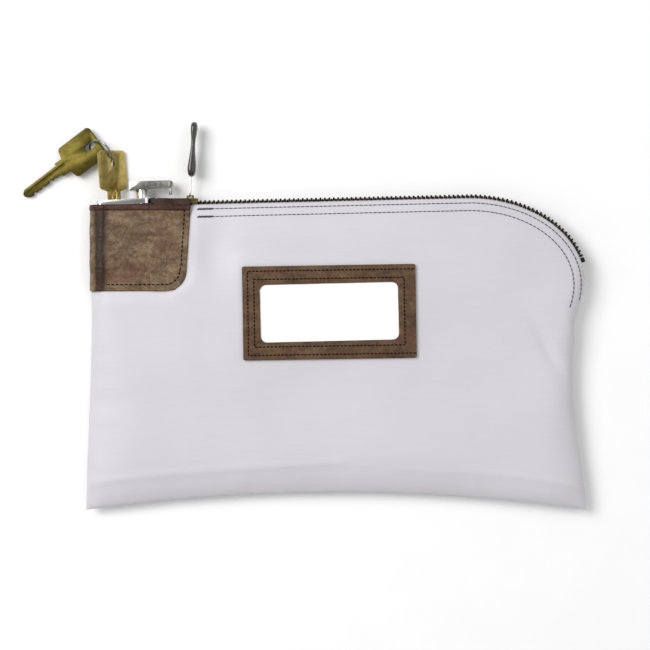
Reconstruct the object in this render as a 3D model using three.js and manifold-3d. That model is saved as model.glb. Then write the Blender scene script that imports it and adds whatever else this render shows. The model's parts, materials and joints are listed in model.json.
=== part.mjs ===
// Locking cash deposit bag: a lightly filled zipped bag lying on its back, with a key lock in a
// leather corner pouch. Millimetres. +X runs along the mouth away from the lock, +Y points to the
// mouth, +Z out of the front face. The origin is the middle of the flat back.
import * as THREE from 'three';
import { mergeVertices } from 'three/addons/utils/BufferGeometryUtils.js';
import Module from 'manifold-3d';

const wasm = await Module();
wasm.setup();

// ---- driving dimensions ---------------------------------------------------------------------
const gap = 0.3; // clearance between separate pieces

// fabric bag
const bagWidth = 279;
const bagHeight = 176; // bottom corners to the top of the mouth
const fabricWall = 1.0;
const faceRoll = 26; // width over which a face rolls down to its seam
const pouchSideRoll = 9; // the same beside the lock pouch
const bottomRise = 10; // how far the bottom seam rises at mid-width
const leftWaist = 3; // how far each side pulls in
const rightWaist = 7;
const mouthCurveWidth = 64; // the mouth's rounded end
const mouthCurveHeight = 48;
const mouthSlope = 0.0227; // the straight mouth rises away from the lock
const mouthWidth = 6.6; // front fabric to back fabric, inside, at the mouth

// zip
const zipEndAngle = 0.26; // where the zip stops on the rounded end, radians above its end
const toothPitch = 2.47;
const toothHeight = 1.9;
const chainHalfWidth = 2.9; // outer edge of the chain from its centre line
const toothReach = 0.9; // how far a tooth passes the centre line
const toothRoot = 1.7; // inner edge of the bar that carries the teeth
const tapeThickness = 0.6;
const tapeLegDepth = 12; // how far a tape runs down inside the bag
const tapeInnerEdge = 0.9;
const endStopLength = 1.9;
const endStopRoom = 0.48; // between the last tooth and the end stop

// slider and pull
const sliderLength = 9.6;
const sliderHalfWidth = 4.2;
const sliderPlate = 1.0;
const tongueRoom = 0.36; // between the tongue's end and the side of the lock
const tongueHalfWidth = 2.6;
const tongueHole = 1.5;
const lugLength = 4.4;
const lugHeight = 2.0;
const lugHalfWidth = 0.9;
const lipThickness = 0.55; // the slider's turned-down edges
const linkRadius = 2.6;
const linkWire = 0.4;
const linkStraight = 7.6;
const pullWidth = 9;
const pullLean = -0.06; // radians

// leather pouch
const pouchWidth = 56.6;
const pouchHeight = 48;
const pouchInset = 1.9; // pouch edge inside the bag's side
const pouchCorner = 12;
const pouchFlare = 2.2; // the free edge leans out towards the mouth
const pouchWall = 1.2;
const pouchRoom = 0.9; // between the leather and the lock case

// lock
const lockInset = 13.7; // key axis from the pouch's left edge
const lockRise = 2.7; // top of the cap above the leather
const lockTilt = 0.07;
const capLeft = 10;
const capRight = 20.3;
const capHeight = 3;
const caseLeft = 10.2;
const caseRight = 23.2;
const caseDepth = 34.1;
const caseWall = 1.4; // metal left beside the plug
const plugRadius = 5.0;
const plugLength = 26.3;
const keyTurn = 50; // degrees from home to open
const pinCount = 7;
const pinPitch = 2.75;
const pinRadius = 0.85;
const firstPin = -4.6;
const chamberTop = -26.6;
const boltThickness = 1.2;
const crankRadius = 2.37;
const crankPin = 0.8;
const postX = 15.6; // latch post axis
const postRadius = 3.4;
const latchTravel = 4.3;
const boltOverlap = 1.6; // how far the bolt reaches over the post's foot
const armLow = 5.2; // underside of the latch arm above the cap
const armHigh = 9.6;
const armHalfWidth = 4.5;
const armEnd = 33.4;
const hookRadius = 0.9;
const hookLength = 4.1;
const hookX = 31.6;
const rivetRadius = 1.3;
const screwRadius = 1.0;
const screwHeadRadius = 1.6;
const screwInset = 1.8; // screw axis from either end of the case
const baseThickness = 1.2;
const springWire = 0.22;
const pinSpringWire = 0.16;

// keys and ring
const keyThickness = 2.2;
const bowHalfWidth = 9.75;
const bowBottom = 6.2;
const bowTop = 27.9;
const slotCentre = 22.2; // the bow's ring slot, above the cap
const slotHalfWidth = 1.9;
const slotHalfLength = 3.4;
const neckHalfWidth = 4.2;
const bladeHalfWidth = 2.9;
const bladeTip = -24.2;
const grooveDepth = 0.6; // milled along each side of the blade
const ringWire = 0.5;
const ringRadius = 7.81;

// name window
const windowX = -4.0;
const windowY = 22.2;
const windowTurn = 0.016;
const openingWidth = 77;
const openingHeight = 33;
const openingRadius = 3.5;
const frameBorder = 9.5; // leather all round the opening
const frameRadius = 2.5;
const frameThickness = 1.95;
const frameLip = 0.9; // leather left over the card pocket
const cardLap = 4.5; // how far the card reaches behind the leather
const cardThickness = 0.25;
const filmThickness = 0.2;

// ---- derived places -------------------------------------------------------------------------
const halfWidth = bagWidth / 2;
const halfHeight = bagHeight / 2;
const caseHalfThickness = plugRadius + caseWall;
const bagDepth = 2 * (caseHalfThickness + pouchRoom + pouchWall); // front face to back face
const seamZ = bagDepth / 2;
const curveCentreX = halfWidth - 1 - mouthCurveWidth;
const curveStart = Math.PI / 2 + Math.atan((mouthSlope * mouthCurveWidth) / mouthCurveHeight);
const curveCentreY = halfHeight - 2.5 - mouthCurveHeight;
const straightEnd = new THREE.Vector2(
  curveCentreX + mouthCurveWidth * Math.cos(curveStart),
  curveCentreY + mouthCurveHeight * Math.sin(curveStart),
);
const mouthLineY = (x) => straightEnd.y + (x - straightEnd.x) * mouthSlope;
const mouthTurn = Math.atan(mouthSlope);
const pouchLeft = -halfWidth + pouchInset;
const pouchRight = pouchLeft + pouchWidth;
const pouchTop = mouthLineY(pouchRight) - 0.1;
const pouchBottom = pouchTop - pouchHeight;
const lockX = pouchLeft + lockInset; // key axis at the top of the cap
const lockY = pouchTop + lockRise;
const zipStart = pouchRight + 0.5;
const sliderCentre = pouchRight - 1;
const tongueEnd = lockX + caseRight * Math.cos(lockTilt) + tongueRoom;
const tongueLength = sliderCentre - sliderLength / 2 - tongueEnd;
const frameWidth = openingWidth + 2 * frameBorder;
const frameHeight = openingHeight + 2 * frameBorder;
const cardWidth = openingWidth + 2 * cardLap;
const cardHeight = openingHeight + 2 * cardLap;

// ---- materials ------------------------------------------------------------------------------
const finish = (color, roughness, metalness) => () =>
  new THREE.MeshStandardMaterial({ color, roughness, metalness });
const nylon = finish(0xd6d4d7, 0.55, 0);
const leather = finish(0x69584a, 0.5, 0);
const frameLeather = finish(0x5f4a38, 0.5, 0);
const tapeCloth = finish(0xc9c8cc, 0.8, 0);
const toothMetal = finish(0x3b352a, 0.4, 0.8);
const goldMetal = finish(0x9a8743, 0.35, 0.9);
const chrome = finish(0xd8dadc, 0.12, 1);
const zinc = finish(0x2b2b2d, 0.45, 0.7);
const steel = finish(0x9a9c9e, 0.35, 1);
const brass = finish(0xa8923f, 0.3, 1);
const pullPlastic = finish(0x4f4640, 0.3, 0);
const clearVinyl = () =>
  new THREE.MeshStandardMaterial({ color: 0xf4f6f8, roughness: 0.1, transparent: true, opacity: 0.35 });
const cardPaper = finish(0xfcfcfa, 0.8, 0);

// ---- solids ---------------------------------------------------------------------------------
// Turns a closed geometry into a solid that can be cut and joined.
function solid(geometry) {
  const bare = geometry.index ? geometry.clone() : geometry;
  bare.deleteAttribute('normal');
  bare.deleteAttribute('uv');
  const merged = mergeVertices(bare, 1e-4);
  return new wasm.Manifold(
    new wasm.Mesh({
      numProp: 3,
      vertProperties: new Float32Array(merged.attributes.position.array),
      triVerts: new Uint32Array(merged.index.array),
    }),
  );
}

// Turns a solid back into a geometry with normals.
function surface(body) {
  const mesh = body.getMesh();
  const geometry = new THREE.BufferGeometry();
  geometry.setAttribute('position', new THREE.BufferAttribute(new Float32Array(mesh.vertProperties), 3));
  geometry.setIndex(new THREE.BufferAttribute(new Uint32Array(mesh.triVerts), 1));
  geometry.computeVertexNormals();
  return geometry;
}

const join = (...parts) => parts.map(solid).reduce((a, b) => a.add(b));
const cut = (body, ...tools) => tools.map(solid).reduce((a, b) => a.subtract(b), body);

function box(x0, x1, y0, y1, z0, z1) {
  const geometry = new THREE.BoxGeometry(x1 - x0, y1 - y0, z1 - z0);
  return geometry.translate((x0 + x1) / 2, (y0 + y1) / 2, (z0 + z1) / 2);
}

function rodY(radius, x, z, y0, y1, sides = 24) {
  return new THREE.CylinderGeometry(radius, radius, y1 - y0, sides).translate(x, (y0 + y1) / 2, z);
}

function rodX(radius, y, z, x0, x1, sides = 10) {
  const rod = new THREE.CylinderGeometry(radius, radius, x1 - x0, sides);
  return rod.rotateZ(Math.PI / 2).translate((x0 + x1) / 2, y, z);
}

function rodZ(radius, x, y, z0, z1, sides = 16) {
  const rod = new THREE.CylinderGeometry(radius, radius, z1 - z0, sides);
  return rod.rotateX(Math.PI / 2).translate(x, y, (z0 + z1) / 2);
}

// A shape in X and Y, thickened along Z.
function plateZ(shape, z0, z1, curveSegments = 6) {
  const plate = new THREE.ExtrudeGeometry(shape, { depth: z1 - z0, bevelEnabled: false, curveSegments });
  return plate.translate(0, 0, z0);
}

// A shape in X and Z that is symmetric about Z = 0, thickened along Y.
function plateY(shape, y0, y1, curveSegments = 6) {
  const plate = new THREE.ExtrudeGeometry(shape, { depth: y1 - y0, bevelEnabled: false, curveSegments });
  return plate.rotateX(-Math.PI / 2).translate(0, y0, 0);
}

function roundedRectangle(x0, x1, y0, y1, radius, Kind = THREE.Shape) {
  const shape = new Kind();
  shape.moveTo(x0 + radius, y0);
  shape.lineTo(x1 - radius, y0);
  shape.absarc(x1 - radius, y0 + radius, radius, -Math.PI / 2, 0, false);
  shape.lineTo(x1, y1 - radius);
  shape.absarc(x1 - radius, y1 - radius, radius, 0, Math.PI / 2, false);
  shape.lineTo(x0 + radius, y1);
  shape.absarc(x0 + radius, y1 - radius, radius, Math.PI / 2, Math.PI, false);
  shape.lineTo(x0, y0 + radius);
  shape.absarc(x0 + radius, y0 + radius, radius, Math.PI, 1.5 * Math.PI, false);
  return shape;
}

// ---- assembly -------------------------------------------------------------------------------
const bag = new THREE.Group();

function addPiece(parent, name, geometry, material) {
  const mesh = new THREE.Mesh(geometry, material());
  mesh.name = name;
  parent.add(mesh);
  return mesh;
}

function addGroup(parent, x, y, z) {
  const group = new THREE.Group();
  group.position.set(x, y, z);
  parent.add(group);
  return group;
}

// ---- fabric panels --------------------------------------------------------------------------
const mouthEllipse = new THREE.EllipseCurve(
  curveCentreX, curveCentreY, mouthCurveWidth, mouthCurveHeight, curveStart, 0, true,
);

// The four edges of the bag's face; inset moves each one inwards.
function bottomEdge(u, inset) {
  const x = THREE.MathUtils.lerp(-halfWidth + inset, halfWidth - inset, u);
  const share = x / halfWidth;
  return new THREE.Vector2(x, -halfHeight + bottomRise * (1 - share * share) + inset);
}

function topEdge(u, inset) {
  const straight = 0.55; // share of the columns that the straight mouth takes
  const left = -halfWidth + inset;
  if (u < straight) {
    const x = THREE.MathUtils.lerp(left, straightEnd.x, u / straight);
    return new THREE.Vector2(x, mouthLineY(x) - inset);
  }
  const turn = THREE.MathUtils.lerp(curveStart, 0, (u - straight) / (1 - straight));
  return new THREE.Vector2(
    curveCentreX + (mouthCurveWidth - inset) * Math.cos(turn),
    curveCentreY + (mouthCurveHeight - inset) * Math.sin(turn),
  );
}

function sideEdge(v, inset, side) {
  const low = bottomEdge(side < 0 ? 0 : 1, inset);
  const high = topEdge(side < 0 ? 0 : 1, inset);
  const [waist, skew] = side < 0 ? [leftWaist, 1.5] : [rightWaist, 1.3];
  const pull = waist * Math.sin(Math.PI * v ** skew);
  return low.lerp(high, v).add(new THREE.Vector2(-side * pull, 0));
}

// A point of the face from its share across (u) and up (v), blended from the four edges.
function facePoint(u, v, inset) {
  const bottom = bottomEdge(u, inset);
  const top = topEdge(u, inset);
  const left = sideEdge(v, inset, -1);
  const right = sideEdge(v, inset, 1);
  const corners = bottomEdge(0, inset).multiplyScalar((1 - u) * (1 - v));
  corners.add(bottomEdge(1, inset).multiplyScalar(u * (1 - v)));
  corners.add(topEdge(0, inset).multiplyScalar((1 - u) * v));
  corners.add(topEdge(1, inset).multiplyScalar(u * v));
  const point = bottom.multiplyScalar(1 - v).add(top.multiplyScalar(v));
  point.add(left.multiplyScalar(1 - u)).add(right.multiplyScalar(u));
  return point.sub(corners);
}

// Height share of a face at a distance from an edge that it rolls down to.
function rollOff(distance, roll) {
  const rest = Math.max(0, 1 - distance / roll);
  return Math.sqrt(1 - rest * rest);
}

function faceHeight(u, v, depth, mouthHalf) {
  const leftRoll = THREE.MathUtils.lerp(faceRoll, pouchSideRoll, THREE.MathUtils.smoothstep(v, 0.3, 0.72));
  const sides = rollOff(u * bagWidth, leftRoll) * rollOff((1 - u) * bagWidth, faceRoll);
  const bottom = rollOff(v * bagHeight, faceRoll);
  const mouthShare = mouthHalf / depth;
  const mouth = mouthShare + (1 - mouthShare) * rollOff((1 - v) * bagHeight, faceRoll);
  return depth * sides * bottom * mouth;
}

// A dished panel: outer face, inner face one wall inside it, and a rim that meets the seam.
function panelGeometry(side) {
  const columns = 26;
  const rows = 13;
  const geometry = new THREE.BoxGeometry(1, 1, 1, columns, rows, 1);
  const position = geometry.attributes.position;
  const spread = (share) => 0.5 - 0.5 * Math.cos(Math.PI * share);
  for (let i = 0; i < position.count; i += 1) {
    const u = spread(position.getX(i) + 0.5);
    const v = spread(position.getY(i) + 0.5);
    const outer = position.getZ(i) * side > 0;
    const inset = outer ? 0 : fabricWall;
    const depth = seamZ - gap / 2 - inset;
    const point = facePoint(u, v, inset);
    const mouthHalf = mouthWidth / 2 + fabricWall - gap / 2 - inset;
    const height = gap / 2 + faceHeight(u, v, depth, mouthHalf);
    position.setXYZ(i, point.x, point.y, seamZ + side * height);
  }
  return geometry;
}

// Outline of the leather pouch in X and Y; grow moves its free edges outwards.
function pouchOutline(grow, leftReach, topReach) {
  const low = pouchBottom - grow;
  const right = pouchRight + grow;
  const radius = pouchCorner;
  const shape = new THREE.Shape();
  shape.moveTo(pouchLeft - leftReach, low);
  shape.lineTo(right - pouchFlare - radius, low);
  shape.absarc(right - pouchFlare - radius, low + radius, radius, -Math.PI / 2, 0, false);
  shape.lineTo(right, pouchTop);
  shape.lineTo(right, pouchTop + topReach);
  shape.lineTo(pouchLeft - leftReach, pouchTop + topReach);
  return shape;
}

function addPanels() {
  const notchReach = 20;
  const notch = plateZ(pouchOutline(gap, notchReach, notchReach), -1, bagDepth + 1);
  for (const [name, side] of [['front_panel', 1], ['back_panel', -1]]) {
    addPiece(bag, name, surface(cut(solid(panelGeometry(side)), notch)), nylon);
  }
}

// ---- lock pouch -----------------------------------------------------------------------------
function addPouch() {
  const outer = bagDepth / 2;
  const inner = outer - pouchWall;
  const section = new THREE.Shape();
  section.moveTo(pouchRight, -outer);
  section.lineTo(pouchLeft + outer, -outer);
  section.absarc(pouchLeft + outer, 0, outer, -Math.PI / 2, Math.PI / 2, true);
  section.lineTo(pouchRight, outer);
  section.lineTo(pouchRight, inner);
  section.lineTo(pouchLeft + outer, inner);
  section.absarc(pouchLeft + outer, 0, inner, Math.PI / 2, -Math.PI / 2, false);
  section.lineTo(pouchRight, -inner);
  const wrap = plateY(section, pouchBottom, pouchTop, 10).translate(0, 0, seamZ);
  const outline = plateZ(pouchOutline(0, 1, 0), -1, bagDepth + 1);
  addPiece(bag, 'lock_pouch', surface(solid(wrap).intersect(solid(outline))), leather);
}

// ---- zip ------------------------------------------------------------------------------------
const zipStraight = (straightEnd.x - zipStart) / Math.cos(mouthTurn);
const curveLength = mouthEllipse.getLength();

// Bends a geometry made along X (distance along the mouth) with Y as height above it.
function alongMouth(geometry) {
  const position = geometry.attributes.position;
  for (let i = 0; i < position.count; i += 1) {
    const along = position.getX(i);
    const height = position.getY(i);
    let point;
    let tangent;
    if (along <= zipStraight) {
      tangent = new THREE.Vector2(Math.cos(mouthTurn), Math.sin(mouthTurn));
      point = straightEnd.clone().addScaledVector(tangent, along - zipStraight);
    } else {
      const share = (along - zipStraight) / curveLength;
      point = mouthEllipse.getPointAt(share);
      tangent = mouthEllipse.getTangentAt(share);
    }
    position.setXYZ(i, point.x - tangent.y * height, point.y + tangent.x * height, position.getZ(i));
  }
  return geometry;
}

function zipLength() {
  let low = 0;
  let high = 1;
  const target = curveCentreY + mouthCurveHeight * Math.sin(zipEndAngle);
  for (let i = 0; i < 30; i += 1) {
    const middle = (low + high) / 2;
    if (mouthEllipse.getPointAt(middle).y > target) {
      low = middle;
    } else {
      high = middle;
    }
  }
  return zipStraight + low * curveLength;
}

function tapeGeometry(side) {
  const length = zipLength();
  const steps = 36;
  const outer = mouthWidth / 2 - gap;
  const section = new THREE.Shape();
  section.moveTo(outer, 0);
  section.lineTo(tapeInnerEdge, 0);
  section.lineTo(tapeInnerEdge, -tapeThickness);
  section.lineTo(outer - tapeThickness, -tapeThickness);
  section.lineTo(outer - tapeThickness, -tapeLegDepth);
  section.lineTo(outer, -tapeLegDepth);
  const strip = new THREE.ExtrudeGeometry(section, { depth: length, steps, bevelEnabled: false });
  strip.rotateY(Math.PI / 2);
  if (side > 0) {
    strip.rotateY(Math.PI).translate(length, 0, 0);
  }
  return alongMouth(strip).translate(0, 0, seamZ);
}

// How many pitches of teeth fit before the end stop.
function toothCount() {
  const room = zipLength() - endStopLength - gap - 1.5 * toothPitch;
  return Math.floor(room / toothPitch);
}

// One side's teeth as a toothed rail, half a pitch along from the other side's: its inner edge
// runs out to a tooth's tip and back to the root once a pitch, so the two rails mesh with play.
function toothRail(side) {
  const count = toothCount();
  const start = toothPitch + (side > 0 ? toothPitch / 2 : 0);
  const length = count * toothPitch;
  const rail = new THREE.BoxGeometry(length, toothHeight, 1, 2 * count, 1, 1);
  rail.translate(start + length / 2, gap + toothHeight / 2, 0);
  const position = rail.attributes.position;
  for (let i = 0; i < position.count; i += 1) {
    const halfPitches = Math.round((position.getX(i) - start) / (toothPitch / 2));
    const innerEdge = halfPitches % 2 === 1 ? -toothReach : toothRoot;
    const inner = position.getZ(i) * side < 0;
    position.setZ(i, side * (inner ? innerEdge : chainHalfWidth));
  }
  return alongMouth(rail).translate(0, 0, seamZ);
}

function addZip() {
  for (const [name, side] of [['front', 1], ['back', -1]]) {
    addPiece(bag, `zip_tape_${name}`, tapeGeometry(side), tapeCloth);
    addPiece(bag, `zip_teeth_${name}`, toothRail(side), toothMetal);
  }
  const start = (toothCount() + 1.5) * toothPitch + endStopRoom;
  const end = start + endStopLength;
  const stop = box(start, end, gap, gap + toothHeight, -chainHalfWidth, chainHalfWidth);
  addPiece(bag, 'zip_end_stop', alongMouth(stop).translate(0, 0, seamZ), toothMetal);
}

// ---- slider and pull ------------------------------------------------------------------------
function addSlider() {
  const slider = addGroup(bag, sliderCentre, mouthLineY(sliderCentre), seamZ);
  slider.rotation.z = mouthTurn;
  const half = sliderLength / 2;
  const plateLow = gap + toothHeight + gap;
  const plateHigh = plateLow + sliderPlate;
  const throat = sliderHalfWidth + 0.5;
  const outline = new THREE.Shape();
  outline.moveTo(half, -sliderHalfWidth + 0.4);
  outline.lineTo(half, sliderHalfWidth - 0.4);
  outline.quadraticCurveTo(0, sliderHalfWidth - 0.4, -half, throat);
  outline.quadraticCurveTo(-half - 1.2, 0, -half, -throat);
  outline.quadraticCurveTo(0, -sliderHalfWidth + 0.4, half, -sliderHalfWidth + 0.4);
  const lipTop = plateLow + 0.1;
  const lipLow = gap + 0.5;
  const lipIn = chainHalfWidth + gap;
  const lips = [-1, 1].map((side) => {
    const z = [side * lipIn, side * (lipIn + lipThickness)].sort((a, b) => a - b);
    return box(-half + 0.4, half - 0.2, lipLow, lipTop, z[0], z[1]);
  });
  const tip = -half - tongueLength;
  const tongue = box(tip, -half + 1, plateLow, plateHigh, -tongueHalfWidth, tongueHalfWidth);
  const lugStart = -1.8;
  const lugTop = plateHigh + lugHeight;
  const lug = box(lugStart, lugStart + lugLength, plateHigh - 0.2, lugTop, -lugHalfWidth, lugHalfWidth);
  const eyeX = lugStart + lugLength / 2;
  const eyeY = lugTop - linkWire - 0.65;
  const hookHole = rodY(tongueHole, hookPlace() - sliderCentre, 0, plateLow - 1, plateHigh + 1, 16);
  const body = cut(
    join(plateY(outline, plateLow, plateHigh, 4), tongue, lug, ...lips),
    rodZ(linkWire + 0.35, eyeX, eyeY, -2, 2, 12),
    hookHole,
  );
  addPiece(slider, 'slider_body', surface(body), goldMetal);
  const lowerTop = -tapeThickness - gap;
  const lowerHalf = mouthWidth / 2 - gap - tapeThickness - gap;
  addPiece(
    slider, 'slider_lower_plate',
    box(-half, half, lowerTop - sliderPlate, lowerTop, -lowerHalf, lowerHalf), goldMetal,
  );
  addPull(slider, eyeX, eyeY);
}

// A wire loop standing in the YZ plane, its lower bend around the origin.
function wireLoop(wire) {
  const loop = new THREE.TorusGeometry(linkRadius, wire, 6, 16);
  const position = loop.attributes.position;
  for (let i = 0; i < position.count; i += 1) {
    const lift = position.getY(i) > linkRadius * 0.05 ? linkStraight : 0;
    position.setY(i, position.getY(i) + lift + linkRadius);
  }
  return loop.rotateY(Math.PI / 2);
}

function pullSolid() {
  const bottom = linkRadius + linkStraight + 1.4;
  const profile = new THREE.Shape();
  const half = [[1.5, 0], [2.5, 4], [1.9, 10], [1.2, 19.5], [1.6, 24], [1.95, 28], [1.3, 30.6]];
  profile.moveTo(-half[0][0], bottom);
  profile.splineThru(half.slice(1).map(([w, y]) => new THREE.Vector2(-w, bottom + y)));
  profile.lineTo(half.at(-1)[0], bottom + half.at(-1)[1]);
  profile.splineThru(half.slice(0, -1).reverse().map(([w, y]) => new THREE.Vector2(w, bottom + y)));
  const side = plateZ(profile, -pullWidth / 2, pullWidth / 2, 3);
  const face = roundedRectangle(-pullWidth / 2, pullWidth / 2, bottom, bottom + 31, 3.2);
  const paddle = plateZ(face, -4, 4, 4).rotateY(Math.PI / 2);
  const pocket = linkWire + gap;
  return solid(side).intersect(solid(paddle)).subtract(solid(wireLoop(pocket)));
}

function addPull(slider, eyeX, eyeY) {
  const pull = addGroup(slider, eyeX, eyeY, 0);
  pull.rotation.z = pullLean - mouthTurn;
  const slack = -0.1; // the loop hangs a little low in the eye
  addPiece(pull, 'pull_link', wireLoop(linkWire), chrome).position.y = slack;
  addPiece(pull, 'pull_tab', surface(pullSolid()), pullPlastic).position.y = slack;
}

// ---- lock -----------------------------------------------------------------------------------
// Where the latch's hook pin comes down on the slider's tongue, along X.
function hookPlace() {
  const drop = lockY + hookX * Math.sin(lockTilt) - mouthLineY(lockX + hookX);
  const heightAboveTongue = drop - 2 * gap - toothHeight - sliderPlate / 2;
  return lockX + hookX * Math.cos(lockTilt) + heightAboveTongue * Math.sin(lockTilt);
}

const boltTop = chamberTop - 0.6;
const boltLow = boltTop - boltThickness;
const boltStroke = 2 * crankRadius * Math.sin(THREE.MathUtils.degToRad(keyTurn / 2));
const boltTipRest = postX - postRadius + boltOverlap - boltStroke;
const springX = postX + 0.9;
const springHole = 1.8;
const pinHole = pinRadius + 0.25;
const driverLength = 2.4;
const chamberHalf = plugRadius + 0.2; // half the bolt chamber's width
const chamberLeft = -6.6;
const boltHalf = 4.6;
const footTop = boltLow - gap + latchTravel;
const footThickness = 2.4;
const springDepth = 14; // how far the spring's hole runs up the post
const postLow = footTop - footThickness;
const footTopCut = footTop + boltThickness + 2 * gap;

function addLockBody(lock) {
  const thick = caseHalfThickness;
  const blockTop = -gap;
  const capClear = capRight + gap;
  const bodyShape = roundedRectangle(-caseLeft, caseRight, -thick, thick, 3);
  const driverReach = plugRadius + gap + driverLength + 3.8; // driver pin and its spring
  const tools = [
    rodY(plugRadius + gap, 0, 0, chamberTop - 1, 1, 32),
    rodY(postRadius + gap, postX, 0, chamberTop - 1, 1, 24),
    box(chamberLeft, postX + postRadius + 1, -caseDepth - 1, chamberTop, -chamberHalf, chamberHalf),
    ...screwPlaces().map((x) => rodY(screwRadius + gap, x, 0, -caseDepth - 1, -caseDepth + 7, 12)),
  ];
  for (let i = 0; i < pinCount; i += 1) {
    tools.push(rodX(pinHole, firstPin - i * pinPitch, 0, plugRadius - 1, driverReach, 10));
  }
  const block = box(capClear, caseRight, -capHeight - 1, blockTop, -thick + 1, thick - 1);
  const body = cut(join(plateY(bodyShape, -caseDepth, -capHeight - gap, 4), block), ...tools);
  addPiece(lock, 'lock_case', surface(body), zinc);

  const capShape = roundedRectangle(-capLeft, capRight, -thick, thick, 3);
  const cap = cut(
    solid(plateY(capShape, -capHeight, 0, 4)),
    rodY(plugRadius + gap, 0, 0, -capHeight - 1, 1, 32),
    rodY(postRadius + gap, postX, 0, -capHeight - 1, 1, 24),
  );
  addPiece(lock, 'lock_cap', surface(cap), chrome);

  const plateTop = -caseDepth - gap;
  const baseShape = roundedRectangle(-caseLeft, caseRight, -thick, thick, 3);
  const pedestalLeft = chamberLeft + 0.4;
  const pedestal = box(pedestalLeft, boltTipRest - gap, plateTop - 0.5, boltLow - gap, -boltHalf, boltHalf);
  const base = cut(
    join(plateY(baseShape, plateTop - baseThickness, plateTop, 4), pedestal),
    ...screwPlaces().map((x) => rodY(screwRadius + gap, x, 0, plateTop - 2, plateTop + 1, 12)),
  );
  addPiece(lock, 'lock_base_plate', surface(base), steel);
  screwPlaces().forEach((x, i) => {
    const headTop = plateTop - baseThickness - gap;
    const shank = rodY(screwRadius, x, 0, headTop - 0.5, -caseDepth + 6, 12);
    const screw = join(shank, rodY(screwHeadRadius, x, 0, headTop - 0.9, headTop, 12));
    addPiece(lock, `base_screw_${i + 1}`, surface(screw), steel);
  });
}

function screwPlaces() {
  return [-caseLeft + screwInset, caseRight - screwInset];
}

class Helix extends THREE.Curve {
  constructor(radius, turns, length) {
    super();
    Object.assign(this, { radius, turns, length });
  }

  getPoint(t, target = new THREE.Vector3()) {
    const angle = 2 * Math.PI * this.turns * t;
    return target.set(this.radius * Math.cos(angle), this.length * t, this.radius * Math.sin(angle));
  }
}

// A coil spring along +Y from the origin.
function coilSpring(radius, wire, turns, length, stepsPerTurn, sides) {
  const section = new THREE.Shape();
  for (let i = 0; i < sides; i += 1) {
    const angle = (2 * Math.PI * i) / sides;
    const [x, y] = [wire * Math.cos(angle), wire * Math.sin(angle)];
    if (i === 0) {
      section.moveTo(x, y);
    } else {
      section.lineTo(x, y);
    }
  }
  const extrudePath = new Helix(radius, turns, length);
  const steps = Math.round(turns * stepsPerTurn);
  return new THREE.ExtrudeGeometry(section, { extrudePath, steps, bevelEnabled: false });
}

function addPinStacks(lock, plug) {
  const driverStart = plugRadius + gap;
  const driverEnd = driverStart + driverLength;
  const springStart = driverEnd + gap + pinSpringWire;
  const springLength = 2.8;
  const keyPinStart = bladeHalfWidth + gap;
  for (let i = 0; i < pinCount; i += 1) {
    const y = firstPin - i * pinPitch;
    addPiece(plug, `key_pin_${i + 1}`, rodX(pinRadius, y, 0, keyPinStart, plugRadius - 0.15, 10), brass);
    addPiece(lock, `driver_pin_${i + 1}`, rodX(pinRadius, y, 0, driverStart, driverEnd, 10), brass);
    const spring = coilSpring(pinRadius - 0.25, pinSpringWire, 3, springLength, 6, 4);
    spring.rotateZ(-Math.PI / 2).translate(springStart, y, 0);
    addPiece(lock, `pin_spring_${i + 1}`, spring, steel);
  }
}

function addPlug(lock) {
  const plug = addGroup(lock, 0, 0, 0);
  plug.rotation.y = THREE.MathUtils.degToRad(keyTurn);
  const keyway = keyThickness / 2 + gap;
  const crankAngle = Math.PI / 2 - THREE.MathUtils.degToRad(keyTurn / 2);
  const crankX = crankRadius * Math.cos(crankAngle);
  const crankZ = -crankRadius * Math.sin(crankAngle);
  const tools = [
    box(-bladeHalfWidth - gap, bladeHalfWidth + gap, bladeTip - 0.8, 1, -keyway, keyway),
    box(-neckHalfWidth - 0.2, neckHalfWidth + 0.2, -0.6, 1, -keyway, keyway),
  ];
  for (let i = 0; i < pinCount; i += 1) {
    tools.push(rodX(pinHole, firstPin - i * pinPitch, 0, bladeHalfWidth - 0.5, plugRadius + 1, 10));
  }
  const barrel = rodY(plugRadius, 0, 0, -plugLength, 0, 32);
  const crank = rodY(crankPin, crankX, crankZ, boltLow + 0.1, -plugLength + 1, 12);
  addPiece(plug, 'key_plug', surface(cut(join(barrel, crank), ...tools)), brass);
  return plug;
}

function addBolt(lock) {
  const rise = crankRadius * Math.cos(THREE.MathUtils.degToRad(keyTurn / 2));
  const play = crankPin + 0.25;
  const crankRestX = -boltStroke / 2;
  const plateLeft = chamberLeft + 1.4;
  const plate = box(plateLeft, boltTipRest, boltLow, boltTop, -boltHalf, 1.8);
  const slot = box(
    crankRestX - play, crankRestX + play, boltLow - 1, boltTop + 1, -crankRadius - play, -rise + play,
  );
  const notch = box(5.5, boltTipRest + 1, boltLow - 1, boltTop + 1, -5, -1.8);
  addPiece(lock, 'lock_bolt', surface(cut(solid(plate), slot, notch)), steel);
}

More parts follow.
